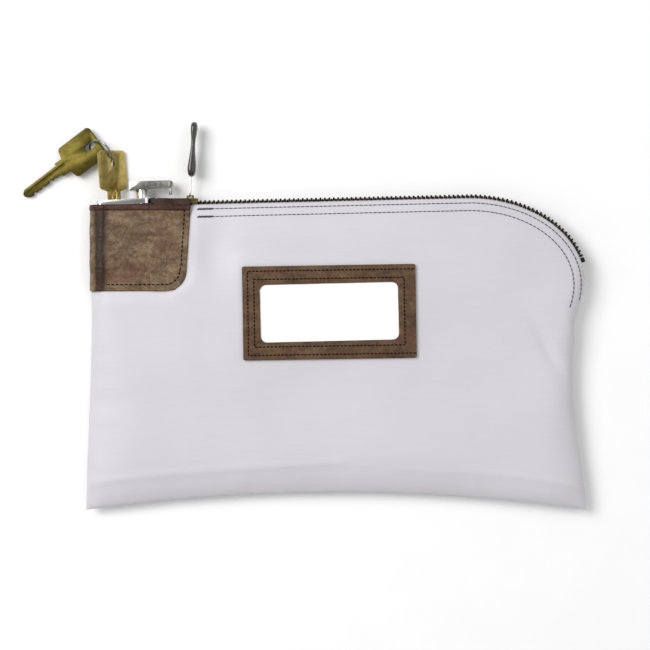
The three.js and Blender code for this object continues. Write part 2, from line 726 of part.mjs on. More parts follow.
function addLatch(lock) {
  const post = cut(
    solid(rodY(postRadius, postX, 0, postLow, armLow - gap, 24)),
    box(postX - postRadius - 1, postX - postRadius + boltOverlap + 0.4, footTop, footTopCut, -5, 5),
    rodY(springHole, springX, 0, postLow - 1, postLow + springDepth, 16),
    rodY(rivetRadius + gap, postX, 0, armLow - 4, armLow + 1, 16),
  );
  addPiece(lock, 'latch_post', surface(post), chrome);

  const profile = new THREE.Shape();
  const endRadius = 1.85;
  const left = postX - 6.8;
  const lip = 0.5; // turned down at the arm's left end
  profile.moveTo(left, armLow - lip);
  profile.lineTo(left + 3, armLow - lip);
  profile.lineTo(left + 3, armLow);
  profile.lineTo(armEnd - endRadius, armLow);
  profile.absarc(armEnd - endRadius, armLow + endRadius, endRadius, -Math.PI / 2, Math.PI / 2, false);
  profile.lineTo(postX, armHigh - 0.2);
  profile.lineTo(left + 0.8, armHigh);
  profile.lineTo(left, armHigh - 0.8);
  const face = new THREE.Shape();
  const reach = armHalfWidth;
  face.moveTo(left, -reach);
  face.lineTo(postX + 3, -reach);
  face.lineTo(armEnd - 3, -reach + 1.2);
  face.absarc(armEnd - 3, 0, reach - 1.2, -Math.PI / 2, Math.PI / 2, false);
  face.lineTo(postX + 3, reach);
  face.lineTo(left, reach);
  const arm = solid(plateZ(profile, -6, 6, 5)).intersect(solid(plateY(face, 0, armHigh + 2, 5)));
  const bowReach = Math.hypot(bowHalfWidth, keyThickness / 2) + gap; // the turning bow sweeps this
  const holes = [
    rodY(rivetRadius + gap, postX, 0, 0, armHigh + 2, 16),
    rodY(hookRadius + gap, hookX, 0, 0, armLow + 1.9 + gap, 12),
    rodY(bowReach, 0, 0, bowBottom - 2 * gap, armHigh + 1, 64),
  ];
  addPiece(lock, 'latch_arm', surface(cut(arm, ...holes)), chrome);
  addPiece(lock, 'latch_rivet', rodY(rivetRadius, postX, 0, armLow - 3.6, armHigh - 0.3, 16), chrome);
  const hookPin = rodY(hookRadius, hookX, 0, armLow - hookLength, armLow + 1.9, 12);
  addPiece(lock, 'latch_hook_pin', hookPin, chrome);

  const seat = -caseDepth + springWire + 0.13;
  const springLength = postLow + springDepth - 0.4 - seat - 2 * springWire;
  const spring = coilSpring(springHole - 0.5, springWire, 9, springLength, 6, 4);
  addPiece(lock, 'latch_spring', spring.translate(springX, seat, 0), steel);
}

// ---- keys and ring --------------------------------------------------------------------------
function keySolid() {
  const shape = new THREE.Shape();
  const shoulder = 1.2;
  const cutDepths = [0.5, 1.1, 0.3, 0.9, 0.6, 1.2, 0.4];
  shape.moveTo(-neckHalfWidth, bowBottom - shoulder);
  shape.lineTo(-neckHalfWidth, gap);
  shape.lineTo(-bladeHalfWidth, gap);
  shape.lineTo(-bladeHalfWidth, bladeTip + 2);
  shape.lineTo(-bladeHalfWidth + 1.6, bladeTip);
  shape.lineTo(-bladeHalfWidth + 3.2, bladeTip);
  shape.lineTo(bladeHalfWidth - 1.2, bladeTip + 1.6);
  for (let i = pinCount - 1; i >= 0; i -= 1) {
    const y = firstPin - i * pinPitch;
    const depth = cutDepths[i % cutDepths.length];
    shape.lineTo(bladeHalfWidth - depth, y - 0.6);
    shape.lineTo(bladeHalfWidth - depth, y + 0.6);
    shape.lineTo(bladeHalfWidth - 0.1, y + pinPitch / 2);
  }
  shape.lineTo(bladeHalfWidth, gap);
  shape.lineTo(neckHalfWidth, gap);
  shape.lineTo(neckHalfWidth, bowBottom - shoulder);
  shape.lineTo(bowHalfWidth - 1.2, bowBottom);
  shape.lineTo(bowHalfWidth, bowBottom + 1.2);
  shape.lineTo(bowHalfWidth, bowTop - 1.4);
  shape.lineTo(bowHalfWidth - 1.4, bowTop);
  shape.lineTo(-bowHalfWidth + 1.4, bowTop);
  shape.lineTo(-bowHalfWidth, bowTop - 1.4);
  shape.lineTo(-bowHalfWidth, bowBottom + 1.2);
  shape.lineTo(-bowHalfWidth + 1.2, bowBottom);
  const low = slotCentre - slotHalfLength;
  const high = slotCentre + slotHalfLength;
  const slotEnd = slotHalfWidth - 0.1;
  shape.holes.push(roundedRectangle(-slotHalfWidth, slotHalfWidth, low, high, slotEnd, THREE.Path));
  const half = keyThickness / 2;
  const groove = (z0, z1) => box(-1.5, 0.1, bladeTip - 1, bowBottom - shoulder, z0, z1);
  const upper = groove(half - grooveDepth, half + 1);
  const lower = groove(-half - 1, -half + grooveDepth);
  return cut(solid(plateZ(shape, -half, half, 4)), upper, lower);
}

// The loose key lies beside the one in the lock: its slot's place, heading, dip and roll.
const looseSlot = new THREE.Vector3(
  lockX - slotCentre * Math.sin(lockTilt) - 12.41,
  lockY + slotCentre * Math.cos(lockTilt) + 8.29,
  seamZ - 4.22,
);
const looseHeading = Math.atan2(0.6, 0.8);
const looseTipHeight = 1.3; // how high the blade's tip lies
const loosePitch = Math.asin((looseSlot.z - looseTipHeight) / (slotCentre - bladeTip));
const looseRoll = -0.1;
const ringLean = THREE.MathUtils.degToRad(-39.9);

function addKeys(plug, lock) {
  addPiece(plug, 'key_in_lock', surface(keySolid()), brass);

  const loose = new THREE.Mesh(surface(keySolid().translate([0, -slotCentre, 0])), brass());
  loose.name = 'loose_key';
  const reach = Math.cos(loosePitch);
  const axis = new THREE.Vector3(
    reach * Math.cos(looseHeading), reach * Math.sin(looseHeading), Math.sin(loosePitch),
  );
  const level = new THREE.Vector3(-Math.sin(looseHeading), Math.cos(looseHeading), 0);
  const normal = new THREE.Vector3().crossVectors(axis, level);
  const lateral = level.clone().multiplyScalar(-Math.cos(looseRoll));
  lateral.addScaledVector(normal, -Math.sin(looseRoll));
  const face = new THREE.Vector3().crossVectors(lateral, axis);
  loose.quaternion.setFromRotationMatrix(new THREE.Matrix4().makeBasis(lateral, axis, face));
  loose.position.copy(looseSlot);
  bag.add(loose);
  addRing(lock);
}

// The ring passes through both slots; it stands on the line between them and leans off it.
function addRing(lock) {
  bag.updateMatrixWorld(true);
  const keySlot = lock.localToWorld(new THREE.Vector3(0, slotCentre, 0));
  const chord = keySlot.clone().sub(looseSlot);
  const along = chord.clone().normalize();
  const up = new THREE.Vector3(0, 0, 1).addScaledVector(along, -along.z).normalize();
  const across = new THREE.Vector3().crossVectors(along, up);
  const rise = up.multiplyScalar(Math.cos(ringLean)).addScaledVector(across, Math.sin(ringLean));
  const height = Math.sqrt(ringRadius ** 2 - chord.lengthSq() / 4);
  const ring = addPiece(bag, 'split_ring', new THREE.TorusGeometry(ringRadius, ringWire, 6, 28), steel);
  const normal = new THREE.Vector3().crossVectors(along, rise);
  ring.quaternion.setFromRotationMatrix(new THREE.Matrix4().makeBasis(along, rise, normal));
  ring.position.copy(looseSlot).addScaledVector(chord, 0.5).addScaledVector(rise, height);
}

function addLock() {
  const lock = addGroup(bag, lockX, lockY, seamZ);
  lock.rotation.z = lockTilt;
  addLockBody(lock);
  const plug = addPlug(lock);
  addPinStacks(lock, plug);
  addBolt(lock);
  addLatch(lock);
  addKeys(plug, lock);
}

// ---- name window ----------------------------------------------------------------------------
function addWindow() {
  const frame = addGroup(bag, windowX, windowY, bagDepth + gap);
  frame.rotation.z = windowTurn;
  const [w, h] = [frameWidth / 2, frameHeight / 2];
  const [ow, oh] = [openingWidth / 2, openingHeight / 2];
  const shape = roundedRectangle(-w, w, -h, h, frameRadius);
  shape.holes.push(roundedRectangle(-ow, ow, -oh, oh, openingRadius, THREE.Path));
  const [cw, ch] = [cardWidth / 2, cardHeight / 2];
  const pocket = box(-cw - gap, w + 1, -ch - gap, ch + gap, -1, frameThickness - frameLip);
  const border = cut(solid(plateZ(shape, 0, frameThickness)), pocket);
  addPiece(frame, 'window_frame', surface(border), frameLeather);
  addPiece(frame, 'name_card', box(-cw, cw, -ch, ch, 0, cardThickness), cardPaper);
  const filmLow = cardThickness + gap;
  addPiece(frame, 'window_film', box(-cw, cw, -ch, ch, filmLow, filmLow + filmThickness), clearVinyl);
}

addPanels();
addPouch();
addZip();
addSlider();
addLock();
addWindow();

export default bag;
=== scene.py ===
"""Looks of a locking cash deposit bag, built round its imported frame.

Lengths are given in millimetres and turned into metres where a mesh is made. +X runs along the
mouth away from the lock, +Y points to the mouth and +Z out of the front face.
"""

import json
import logging
import math
from dataclasses import dataclass, field
from enum import Enum
from typing import Callable, Sequence

import bmesh
import bpy
from mathutils import Matrix, Vector, noise
from mathutils.bvhtree import BVHTree

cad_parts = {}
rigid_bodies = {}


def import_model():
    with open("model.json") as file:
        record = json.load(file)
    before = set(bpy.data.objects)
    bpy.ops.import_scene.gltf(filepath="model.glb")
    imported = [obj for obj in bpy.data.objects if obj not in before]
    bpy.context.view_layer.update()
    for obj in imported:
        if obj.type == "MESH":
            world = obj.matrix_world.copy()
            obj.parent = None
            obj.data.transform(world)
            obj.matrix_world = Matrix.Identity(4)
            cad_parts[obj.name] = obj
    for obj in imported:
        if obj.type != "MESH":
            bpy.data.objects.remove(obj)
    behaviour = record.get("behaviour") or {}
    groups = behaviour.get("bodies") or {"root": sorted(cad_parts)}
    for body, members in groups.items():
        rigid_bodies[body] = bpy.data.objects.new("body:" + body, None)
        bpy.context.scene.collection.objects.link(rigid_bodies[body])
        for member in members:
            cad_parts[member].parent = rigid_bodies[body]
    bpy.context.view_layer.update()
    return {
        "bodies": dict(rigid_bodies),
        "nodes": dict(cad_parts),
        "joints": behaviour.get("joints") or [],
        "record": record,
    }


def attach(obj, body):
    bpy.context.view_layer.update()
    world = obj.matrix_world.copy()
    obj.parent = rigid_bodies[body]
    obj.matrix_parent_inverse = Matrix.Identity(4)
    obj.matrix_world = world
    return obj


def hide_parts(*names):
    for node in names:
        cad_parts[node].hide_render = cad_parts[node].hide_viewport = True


LOG = logging.getLogger("cash_bag")
MM = 0.001
SEAM_Z = 8.5


class Face(Enum):
    """The two faces of the bag, as the sign of their side along Z."""

    FRONT = 1
    BACK = -1


def smooth_step(value: float, low: float, high: float) -> float:
    """Eases from 0 at low to 1 at high.

    Args:
        value: Where to look.
        low: Value at which the result leaves 0.
        high: Value at which the result reaches 1.

    Returns:
        The eased share.
    """
    share = min(1.0, max(0.0, (value - low) / (high - low)))
    return share * share * (3 - 2 * share)


def mix(a: float, b: float, share: float) -> float:
    """Returns the value that lies share of the way from a to b.

    Args:
        a: First value, or share along the first way.
        b: Second value, or share along the second way.
        share: How far between the two, from 0 to 1.
    """
    return a + (b - a) * share


# ---- materials -------------------------------------------------------------------------------
class NodeBench:
    """A material's node tree with short ways to add and join nodes."""

    def __init__(self, name: str) -> None:
        """Starts a material with only its shader and output.

        Args:
            name: Name of the material.
        """
        self.material = bpy.data.materials.new(name)
        self.material.use_nodes = True
        self.tree = self.material.node_tree
        self.shader = self.tree.nodes["Principled BSDF"]

    def add(self, kind: str, links: dict | None = None, **values: object) -> bpy.types.Node:
        """Adds a node.

        Args:
            kind: Type of the node.
            links: Sockets of other nodes, by the name or number of this node's input.
            **values: Node settings, or input values where an input has that name.

        Returns:
            The new node.
        """
        node = self.tree.nodes.new(kind)
        for key, value in values.items():
            if hasattr(node, key):
                setattr(node, key, value)
            else:
                node.inputs[key.replace("_", " ")].default_value = value
        for key, socket in (links or {}).items():
            self.tree.links.new(socket, node.inputs[key])
        return node

    def coordinates(
        self, scale: Sequence[float], turn: float = 0.0, uv: bool = False
    ) -> bpy.types.NodeSocket:
        """Gives mapped coordinates.

        Args:
            scale: Repeats a metre on object coordinates, or over the whole piece on its UV map.
            turn: Turn about Z in radians.
            uv: Whether the piece's own UV map is read in place of object coordinates.

        Returns:
            The vector socket.
        """
        source = self.add("ShaderNodeTexCoord").outputs["UV" if uv else "Object"]
        mapping = self.add("ShaderNodeMapping", {"Vector": source})
        mapping.inputs["Scale"].default_value = scale
        mapping.inputs["Rotation"].default_value = (0.0, 0.0, turn)
        return mapping.outputs["Vector"]

    def noise(
        self, vector: bpy.types.NodeSocket, scale: float, detail: float = 3.0, rough: float = 0.55
    ) -> bpy.types.NodeSocket:
        """Gives a noise pattern's value.

        Args:
            vector: Coordinates it is read at.
            scale: Size of the pattern.
            detail: Layers of detail.
            rough: How rough it is.

        Returns:
            The output socket.
        """
        made = self.add("ShaderNodeTexNoise", {"Vector": vector}, Scale=scale, Detail=detail, Roughness=rough)
        return made.outputs["Fac"]

    def ramp(
        self, factor: bpy.types.NodeSocket, stops: Sequence[tuple[float, Sequence[float]]]
    ) -> bpy.types.NodeSocket:
        """Colours a value.

        Args:
            factor: The value.
            stops: Places and their colours, in order.

        Returns:
            The colour socket.
        """
        node = self.add("ShaderNodeValToRGB", {"Fac": factor})
        elements = node.color_ramp.elements
        while len(elements) < len(stops):
            elements.new(0.5)
        for element, (place, color) in zip(elements, stops):
            element.position = place
            element.color = (*color, 1.0) if len(color) == 3 else color
        return node.outputs["Color"]

    def blend(self, factor: object, a: object, b: object, mode: str = "MIX") -> bpy.types.NodeSocket:
        """Mixes two colours, each a socket or a colour.

        Args:
            factor: How much of the second is used.
            a: First value, or share along the first way.
            b: Second value, or share along the second way.
            mode: How they are blended.

        Returns:
            The output socket.
        """
        node = self.add("ShaderNodeMix", data_type="RGBA", blend_type=mode)
        for place, value in ((0, factor), (6, a), (7, b)):
            if isinstance(value, bpy.types.NodeSocket):
                self.tree.links.new(value, node.inputs[place])
            elif place == 0:
                node.inputs[0].default_value = value
            else:
                node.inputs[place].default_value = (*value, 1.0)
        return node.outputs[2]

    def math(self, operation: str, a: object, b: object = 0.0) -> bpy.types.NodeSocket:
        """Works out a sum on sockets or numbers.

        Args:
            operation: Which operation.
            a: First value, or share along the first way.
            b: Second value, or share along the second way.

        Returns:
            The output socket.
        """
        node = self.add("ShaderNodeMath", operation=operation)
        for place, value in ((0, a), (1, b)):
            if isinstance(value, bpy.types.NodeSocket):
                self.tree.links.new(value, node.inputs[place])
            else:
                node.inputs[place].default_value = value
        return node.outputs[0]

    def remap(self, value: bpy.types.NodeSocket, low: float, high: float) -> bpy.types.NodeSocket:
        """Spreads a 0 to 1 value over a range.

        Args:
            value: The value.
            low: Lower limit.
            high: Upper limit.

        Returns:
            The output socket.
        """
        node = self.add("ShaderNodeMapRange", {"Value": value})
        node.inputs["To Min"].default_value = low
        node.inputs["To Max"].default_value = high
        return node.outputs["Result"]

    def bump(
        self, height: bpy.types.NodeSocket, distance: float, strength: float = 1.0, under: object = None
    ) -> bpy.types.NodeSocket:
        """Makes bumps from a height, on top of other bumps where they are given.

        Args:
            height: Height.
            distance: Distance, or depth of the relief.
            strength: Strength of the relief.
            under: Normal that it is added to.

        Returns:
            The output socket.
        """
        links = {"Height": height}
        if under is not None:
            links["Normal"] = under
        node = self.add("ShaderNodeBump", links, Strength=strength, Distance=distance)
        return node.outputs["Normal"]

    def finish(
        self, color: object = None, rough: object = None, normal: object = None, **values: object
    ) -> bpy.types.Material:
        """Joins everything to the shader.

        Args:
            color: Base colour, a socket or a colour.
            rough: Roughness, a socket or a number.
            normal: Normal socket.
            **values: Other values, by socket name with underscores.

        Returns:
            The finished material.
        """
        for name, value in (("Base Color", color), ("Roughness", rough), ("Normal", normal)):
            if isinstance(value, bpy.types.NodeSocket):
                self.tree.links.new(value, self.shader.inputs[name])
            elif value is not None:
                self.shader.inputs[name].default_value = (*value, 1.0) if name == "Base Color" else value
        for key, value in values.items():
            self.shader.inputs[key.replace("_", " ")].default_value = value
        return self.material


@dataclass(frozen=True)
class WovenCloth:
    """A woven synthetic cloth with a fine plain weave and a soft sheen."""

    name: str
    color: tuple[float, float, float]
    shade: tuple[float, float, float]
    threads: float = 2.6
    rough: float = 0.46
    sheen: float = 0.25
    depth: float = 0.00006
    size: tuple[float, float] = (279.0, 176.0)

    def material(self) -> bpy.types.Material:
        """Builds the cloth.

        Returns:
            The material.
        """
        bench = NodeBench(self.name)
        count = (self.size[0] * self.threads / 2, self.size[1] * self.threads / 2, 1.0)
        warp = bench.coordinates((count[0], 1.0, 1.0), uv=True)
        weft = bench.coordinates((1.0, count[1], 1.0), uv=True)
        bands = bench.add("ShaderNodeTexWave", {"Vector": warp}, Scale=1.0, Distortion=0.0)
        bars = bench.add(
            "ShaderNodeTexWave", {"Vector": weft}, bands_direction="Y", Scale=1.0, Distortion=0.0
        )
        weave = bench.math("MULTIPLY", bands.outputs["Fac"], bars.outputs["Fac"])
        place = bench.coordinates((1.0, 1.0, 1.0))
        cloudy = bench.noise(place, 14.0, 2.0)
        slub = bench.noise(bench.coordinates((60.0, 900.0, 200.0)), 1.0, 2.0)
        tone = bench.math("ADD", bench.math("MULTIPLY", cloudy, 0.7), bench.math("MULTIPLY", slub, 0.3))
        color = bench.ramp(tone, [(0.3, self.shade), (0.7, self.color)])
        rough = bench.remap(slub, self.rough - 0.06, self.rough + 0.08)
        fine = bench.bump(weave, self.depth, 0.35)
        soft = bench.bump(bench.noise(place, 220.0, 3.0), 0.00012, 0.25, fine)
        return bench.finish(
            color, rough, soft, Sheen_Weight=self.sheen, Sheen_Roughness=0.4, Specular_IOR_Level=0.45
        )


@dataclass(frozen=True)
class Leatherette:
    """Grained brown leatherette with creases: random tone, with painted shade in the folds, veins and grain crevices
    and a painted highlight on the folds' high spots.
    """

    name: str
    dark: tuple[float, float, float]
    middle: tuple[float, float, float]
    light: tuple[float, float, float]
    grain: float = 900.0
    rough: float = 0.42
    crease: float = 0.0004
    ruddy: tuple[float, float, float] = (0.13, 0.05, 0.028)
    fold_shade: tuple[float, float] | None = None
    lip_shadow: float | None = None

    @staticmethod
    def step(bench: NodeBench, value: bpy.types.NodeSocket, low: float, high: float) -> bpy.types.NodeSocket:
        """Gives 0 at one place and 1 at another, easing between them.

        Args:
            bench: The material being built.
            value: The coordinate.
            low: Where the step begins.
            high: Where it ends.

        Returns:
            The step.
        """
        node = bench.add("ShaderNodeMapRange", {"Value": value}, interpolation_type="SMOOTHSTEP")
        node.inputs["From Min"].default_value = low
        node.inputs["From Max"].default_value = high
        return node.outputs["Result"]

    def material(self) -> bpy.types.Material:
        """Builds the leatherette.

        Returns:
            The material.
        """
        bench = NodeBench(self.name)
        place = bench.coordinates((1.0, 1.0, 1.0))
        warp = bench.add("ShaderNodeTexNoise", {"Vector": place}, Scale=160.0, Detail=3.0)
        shift = bench.add("ShaderNodeVectorMath", {0: warp.outputs["Color"]}, operation="SCALE", Scale=0.0012)
        bent = bench.add("ShaderNodeVectorMath", {0: place, 1: shift.outputs[0]}, operation="ADD")
        cells = bench.add(
            "ShaderNodeTexVoronoi", {"Vector": bent.outputs[0]}, feature="DISTANCE_TO_EDGE", Scale=self.grain
        )
        pebble = bench.remap(cells.outputs["Distance"], 0.0, 1.0)
        pebble = bench.math("MINIMUM", bench.math("MULTIPLY", pebble, 6.0), 1.0)
        folds = bench.noise(bench.coordinates((70.0, 190.0, 100.0), turn=0.9), 1.0, 5.0, 0.6)
        patch = bench.noise(place, 75.0, 4.0, 0.6)
        mottle = bench.noise(place, 420.0, 4.0, 0.65)
        veins = bench.add(
            "ShaderNodeTexVoronoi", {
                "Vector": bent.outputs[0]
            }, feature="DISTANCE_TO_EDGE", Scale=self.grain / 7
        )
        vein = bench.math("MINIMUM", bench.math("MULTIPLY", veins.outputs["Distance"], 9.0), 1.0)
        # The folds term ties the colour to the crease relief: painted shade in the folds and a painted highlight on
        # their high spots, over random tone from the patch and mottle noise.
        broad = bench.math("ADD", bench.math("MULTIPLY", folds, 0.4), bench.math("MULTIPLY", patch, 0.25))
        tone = bench.math("ADD", broad, bench.math("MULTIPLY", mottle, 0.35))
        color = bench.ramp(tone, [(0.3, self.dark), (0.47, self.middle), (0.68, self.light)])
        blush = self.step(bench, bench.noise(place, 55.0, 2.0), 0.5, 0.68)
        color = bench.blend(bench.math("MULTIPLY", blush, 0.5), color, self.ruddy)
        # Painted shade: darker along the vein creases and in the grain's crevices.
        color = bench.blend(bench.math("MULTIPLY", bench.math("SUBTRACT", 1.0, vein), 0.2), color, self.dark)
        color = bench.blend(
            bench.math("MULTIPLY", bench.math("SUBTRACT", 1.0, pebble), 0.3), color, self.dark
        )
        axes = bench.add("ShaderNodeSeparateXYZ", {"Vector": place})
        # Painted shade: a dark band across X where the pouch's left side rolls away round the lock.
        if self.fold_shade:
            wander = bench.math("MULTIPLY_ADD", patch, 0.0024)
            wander.node.inputs[2].default_value = -0.0012
            across = bench.math("ADD", axes.outputs["X"], wander)
            rises = self.step(bench, across, self.fold_shade[0], self.fold_shade[0] + 0.0022)
            falls = self.step(bench, across, self.fold_shade[1] + 0.0032, self.fold_shade[1] - 0.0012)
            fold_shade_band = bench.math("MULTIPLY", rises, falls)
            color = bench.blend(bench.math("MULTIPLY", fold_shade_band, 0.88), color, self.dark)
        # Painted shadow: the leather is darkened above this height, where the pouch's raised lip stands above the hem.
        if self.lip_shadow:
            above = self.step(bench, axes.outputs["Y"], self.lip_shadow - 0.0003, self.lip_shadow + 0.0003)
            color = bench.blend(bench.math("MULTIPLY", above, 0.85), color, self.dark)
        rough = bench.remap(patch, self.rough - 0.08, self.rough + 0.14)
        deep = bench.bump(vein, self.crease / 2, 0.5, bench.bump(folds, self.crease, 0.6))
        fine = bench.bump(pebble, 0.00008, 0.5, deep)
        return bench.finish(color, rough, fine, Specular_IOR_Level=0.24)


@dataclass(frozen=True)
class WornMetal:
    """A metal with fine brushing, small scratches and tarnish in patches."""

    name: str
    color: tuple[float, float, float]
    tarnish: tuple[float, float, float]
    rough: float = 0.25
    spots: float = 400.0
    spread: float = 0.12
    metallic: float = 1.0
    depth: float = 0.00002

    def material(self) -> bpy.types.Material:
        """Builds the metal.

        Returns:
            The material.
        """
        bench = NodeBench(self.name)
        place = bench.coordinates((1.0, 1.0, 1.0))
        patch = bench.noise(place, self.spots, 4.0, 0.62)
        fleck = bench.noise(place, self.spots * 5, 2.0)
        brush = bench.noise(bench.coordinates((300.0, 9000.0, 3000.0), turn=0.4), 1.0, 2.0)
        tone = bench.math("ADD", bench.math("MULTIPLY", patch, 0.75), bench.math("MULTIPLY", fleck, 0.25))
        color = bench.ramp(tone, [(0.36, self.tarnish), (0.58, self.color)])
        rough = bench.remap(
            bench.math(
                "MULTIPLY", bench.math("ADD", patch, brush), 0.5
            ), self.rough - self.spread, self.rough + self.spread
        )
        normal = bench.bump(brush, self.depth, 0.2, bench.bump(patch, self.depth * 2, 0.15))
        return bench.finish(color, rough, normal, Metallic=self.metallic)


@dataclass(frozen=True)
class MouldedPlastic:
    """Glossy moulded plastic with a faint flow texture and light scuffs."""

    name: str
    color: tuple[float, float, float]
    scuff: tuple[float, float, float]
    rough: float = 0.22

    def material(self) -> bpy.types.Material:
        """Builds the plastic.

        Returns:
            The material.
        """
        bench = NodeBench(self.name)
        place = bench.coordinates((1.0, 1.0, 1.0))
        flow = bench.noise(bench.coordinates((500.0, 90.0, 500.0)), 1.0, 3.0)
        scuffs = bench.noise(place, 900.0, 4.0, 0.7)
        color = bench.ramp(bench.math("MULTIPLY", flow, scuffs), [(0.2, self.color), (0.42, self.scuff)])
        rough = bench.remap(scuffs, self.rough - 0.06, self.rough + 0.16)
        return bench.finish(color, rough, bench.bump(flow, 0.0001, 0.2), Coat_Weight=0.4, Coat_Roughness=0.12)


@dataclass(frozen=True)
class SewingThread:
    """Twisted thread, fuzzy and matt."""

    name: str
    color: tuple[float, float, float]
    light: tuple[float, float, float]

    def material(self) -> bpy.types.Material:
        """Builds the thread.

        Returns:
            The material.
        """
        bench = NodeBench(self.name)
        twist = bench.add(
            "ShaderNodeTexWave", {
                "Vector": bench.coordinates((1.0, 1.0, 1.0), turn=0.6)
            }, Scale=900.0, Distortion=1.5
        )
        fuzz = bench.noise(bench.coordinates((1.0, 1.0, 1.0)), 2500.0, 2.0)
        color = bench.ramp(
            bench.math("MULTIPLY", twist.outputs["Fac"], fuzz), [(0.1, self.color), (0.6, self.light)]
        )
        return bench.finish(
            color, bench.remap(fuzz, 0.6, 0.85), bench.bump(
                twist.outputs["Fac"], 0.00005, 0.5
            ), Specular_IOR_Level=0.12
        )


@dataclass(frozen=True)
class Paper:
    """Plain white card with a faint fibre texture."""

    name: str
    color: tuple[float, float, float] = (0.97, 0.97, 0.96)

    def material(self) -> bpy.types.Material:
        """Builds the card.

        Returns:
            The material.
        """
        bench = NodeBench(self.name)
        fibre = bench.noise(bench.coordinates((900.0, 2600.0, 900.0), turn=0.3), 1.0, 4.0)
        shade = tuple(c * 0.965 for c in self.color)
        color = bench.ramp(fibre, [(0.3, shade), (0.6, self.color)])
        return bench.finish(color, bench.remap(fibre, 0.7, 0.9), bench.bump(fibre, 0.00003, 0.3))


@dataclass(frozen=True)
class ClearVinyl:
    """Thin clear film, slightly rippled."""

    name: str
    alpha: float = 0.1

    def material(self) -> bpy.types.Material:
        """Builds the film.

        Returns:
            The material.
        """
        bench = NodeBench(self.name)
        ripple = bench.noise(bench.coordinates((1.0, 1.0, 1.0)), 45.0, 2.0)
        rough = bench.remap(ripple, 0.06, 0.16)
        return bench.finish(
            (0.97, 0.98, 1.0), rough, bench.bump(ripple, 0.0006, 0.4), Alpha=self.alpha, IOR=1.5
        )


class Finishes:
    """Every finish of the bag, made once."""

    def __init__(self) -> None:
        """Makes the materials."""
        self.nylon = WovenCloth("lavender_grey_nylon", (0.625, 0.612, 0.64), (0.575, 0.563, 0.588)).material()
        self.tape = WovenCloth(
            "zip_tape_weave", (0.62, 0.61, 0.64), (0.5, 0.49, 0.52), 1.4, 0.75, 0.1, 0.0002, (220.0, 12.0)
        ).material()
        # The pouch gets a painted shade band where its left side rolls away round the lock.
        # The pouch gets a painted shadow strip along its top, where its raised lip stands above the hem.
        self.pouch = Leatherette(
            "pouch_leatherette", (
                0.016, 0.005, 0.002
            ), (0.14, 0.085, 0.044), (0.36, 0.262, 0.16), fold_shade=(-0.1352, -0.1288), lip_shadow=0.0800
        ).material()
        self.hem = Leatherette(
            "hem_leatherette", (0.014, 0.003, 0.001), (0.05, 0.017, 0.009), (0.11, 0.05, 0.03)
        ).material()
        self.frame = Leatherette(
            "window_leatherette", (0.03, 0.012, 0.006), (
                0.095, 0.052, 0.024
            ), (0.2, 0.125, 0.064), 1300.0, 0.5, 0.0001
        ).material()
        self.thread = SewingThread("brown_thread", (0.008, 0.002, 0.001), (0.03, 0.008, 0.004)).material()
        self.grey_thread = SewingThread("slate_thread", (0.03, 0.03, 0.045), (0.1, 0.1, 0.125)).material()
        self.chrome = WornMetal(
            "chrome_plate", (0.86, 0.86, 0.87), (0.74, 0.73, 0.72), 0.12, 120.0, 0.05
        ).material()
        self.wire = WornMetal(
            "bright_wire", (0.82, 0.81, 0.79), (0.6, 0.58, 0.55), 0.2, 500.0, 0.08
        ).material()
        # Painted shade: a darkened copy of the chrome, standing in for the latch arm's dark reflections; the split
        # ring uses it too.
        self.latch = WornMetal(
            "shaded_chrome", (0.38, 0.37, 0.335), (0.2, 0.19, 0.165), 0.24, 330.0, 0.08
        ).material()
        self.steel = WornMetal(
            "plain_steel", (0.46, 0.46, 0.47), (0.3, 0.29, 0.28), 0.34, 500.0, 0.1
        ).material()
        self.zinc = WornMetal(
            "dark_zinc", (0.035, 0.035, 0.038), (0.018, 0.018, 0.02), 0.4, 300.0, 0.1, 0.6, 0.00005
        ).material()
        self.brass = WornMetal(
            "key_brass", (0.5, 0.39, 0.125), (0.36, 0.275, 0.08), 0.3, 260.0, 0.1
        ).material()
        self.old_brass = WornMetal(
            "loose_key_brass", (0.075, 0.06, 0.013), (0.042, 0.032, 0.007), 0.36, 170.0, 0.1
        ).material()
        self.teeth = WornMetal(
            "antique_teeth", (0.05, 0.038, 0.02), (0.012, 0.009, 0.005), 0.34, 900.0, 0.12
        ).material()
        self.slider = WornMetal(
            "antique_gold", (0.2, 0.165, 0.06), (0.04, 0.03, 0.012), 0.3, 900.0, 0.12
        ).material()
        self.plastic = MouldedPlastic("pull_plastic", (0.022, 0.015, 0.011), (0.05, 0.038, 0.03)).material()
        self.card = Paper("white_card").material()
        self.vinyl = ClearVinyl("clear_film").material()


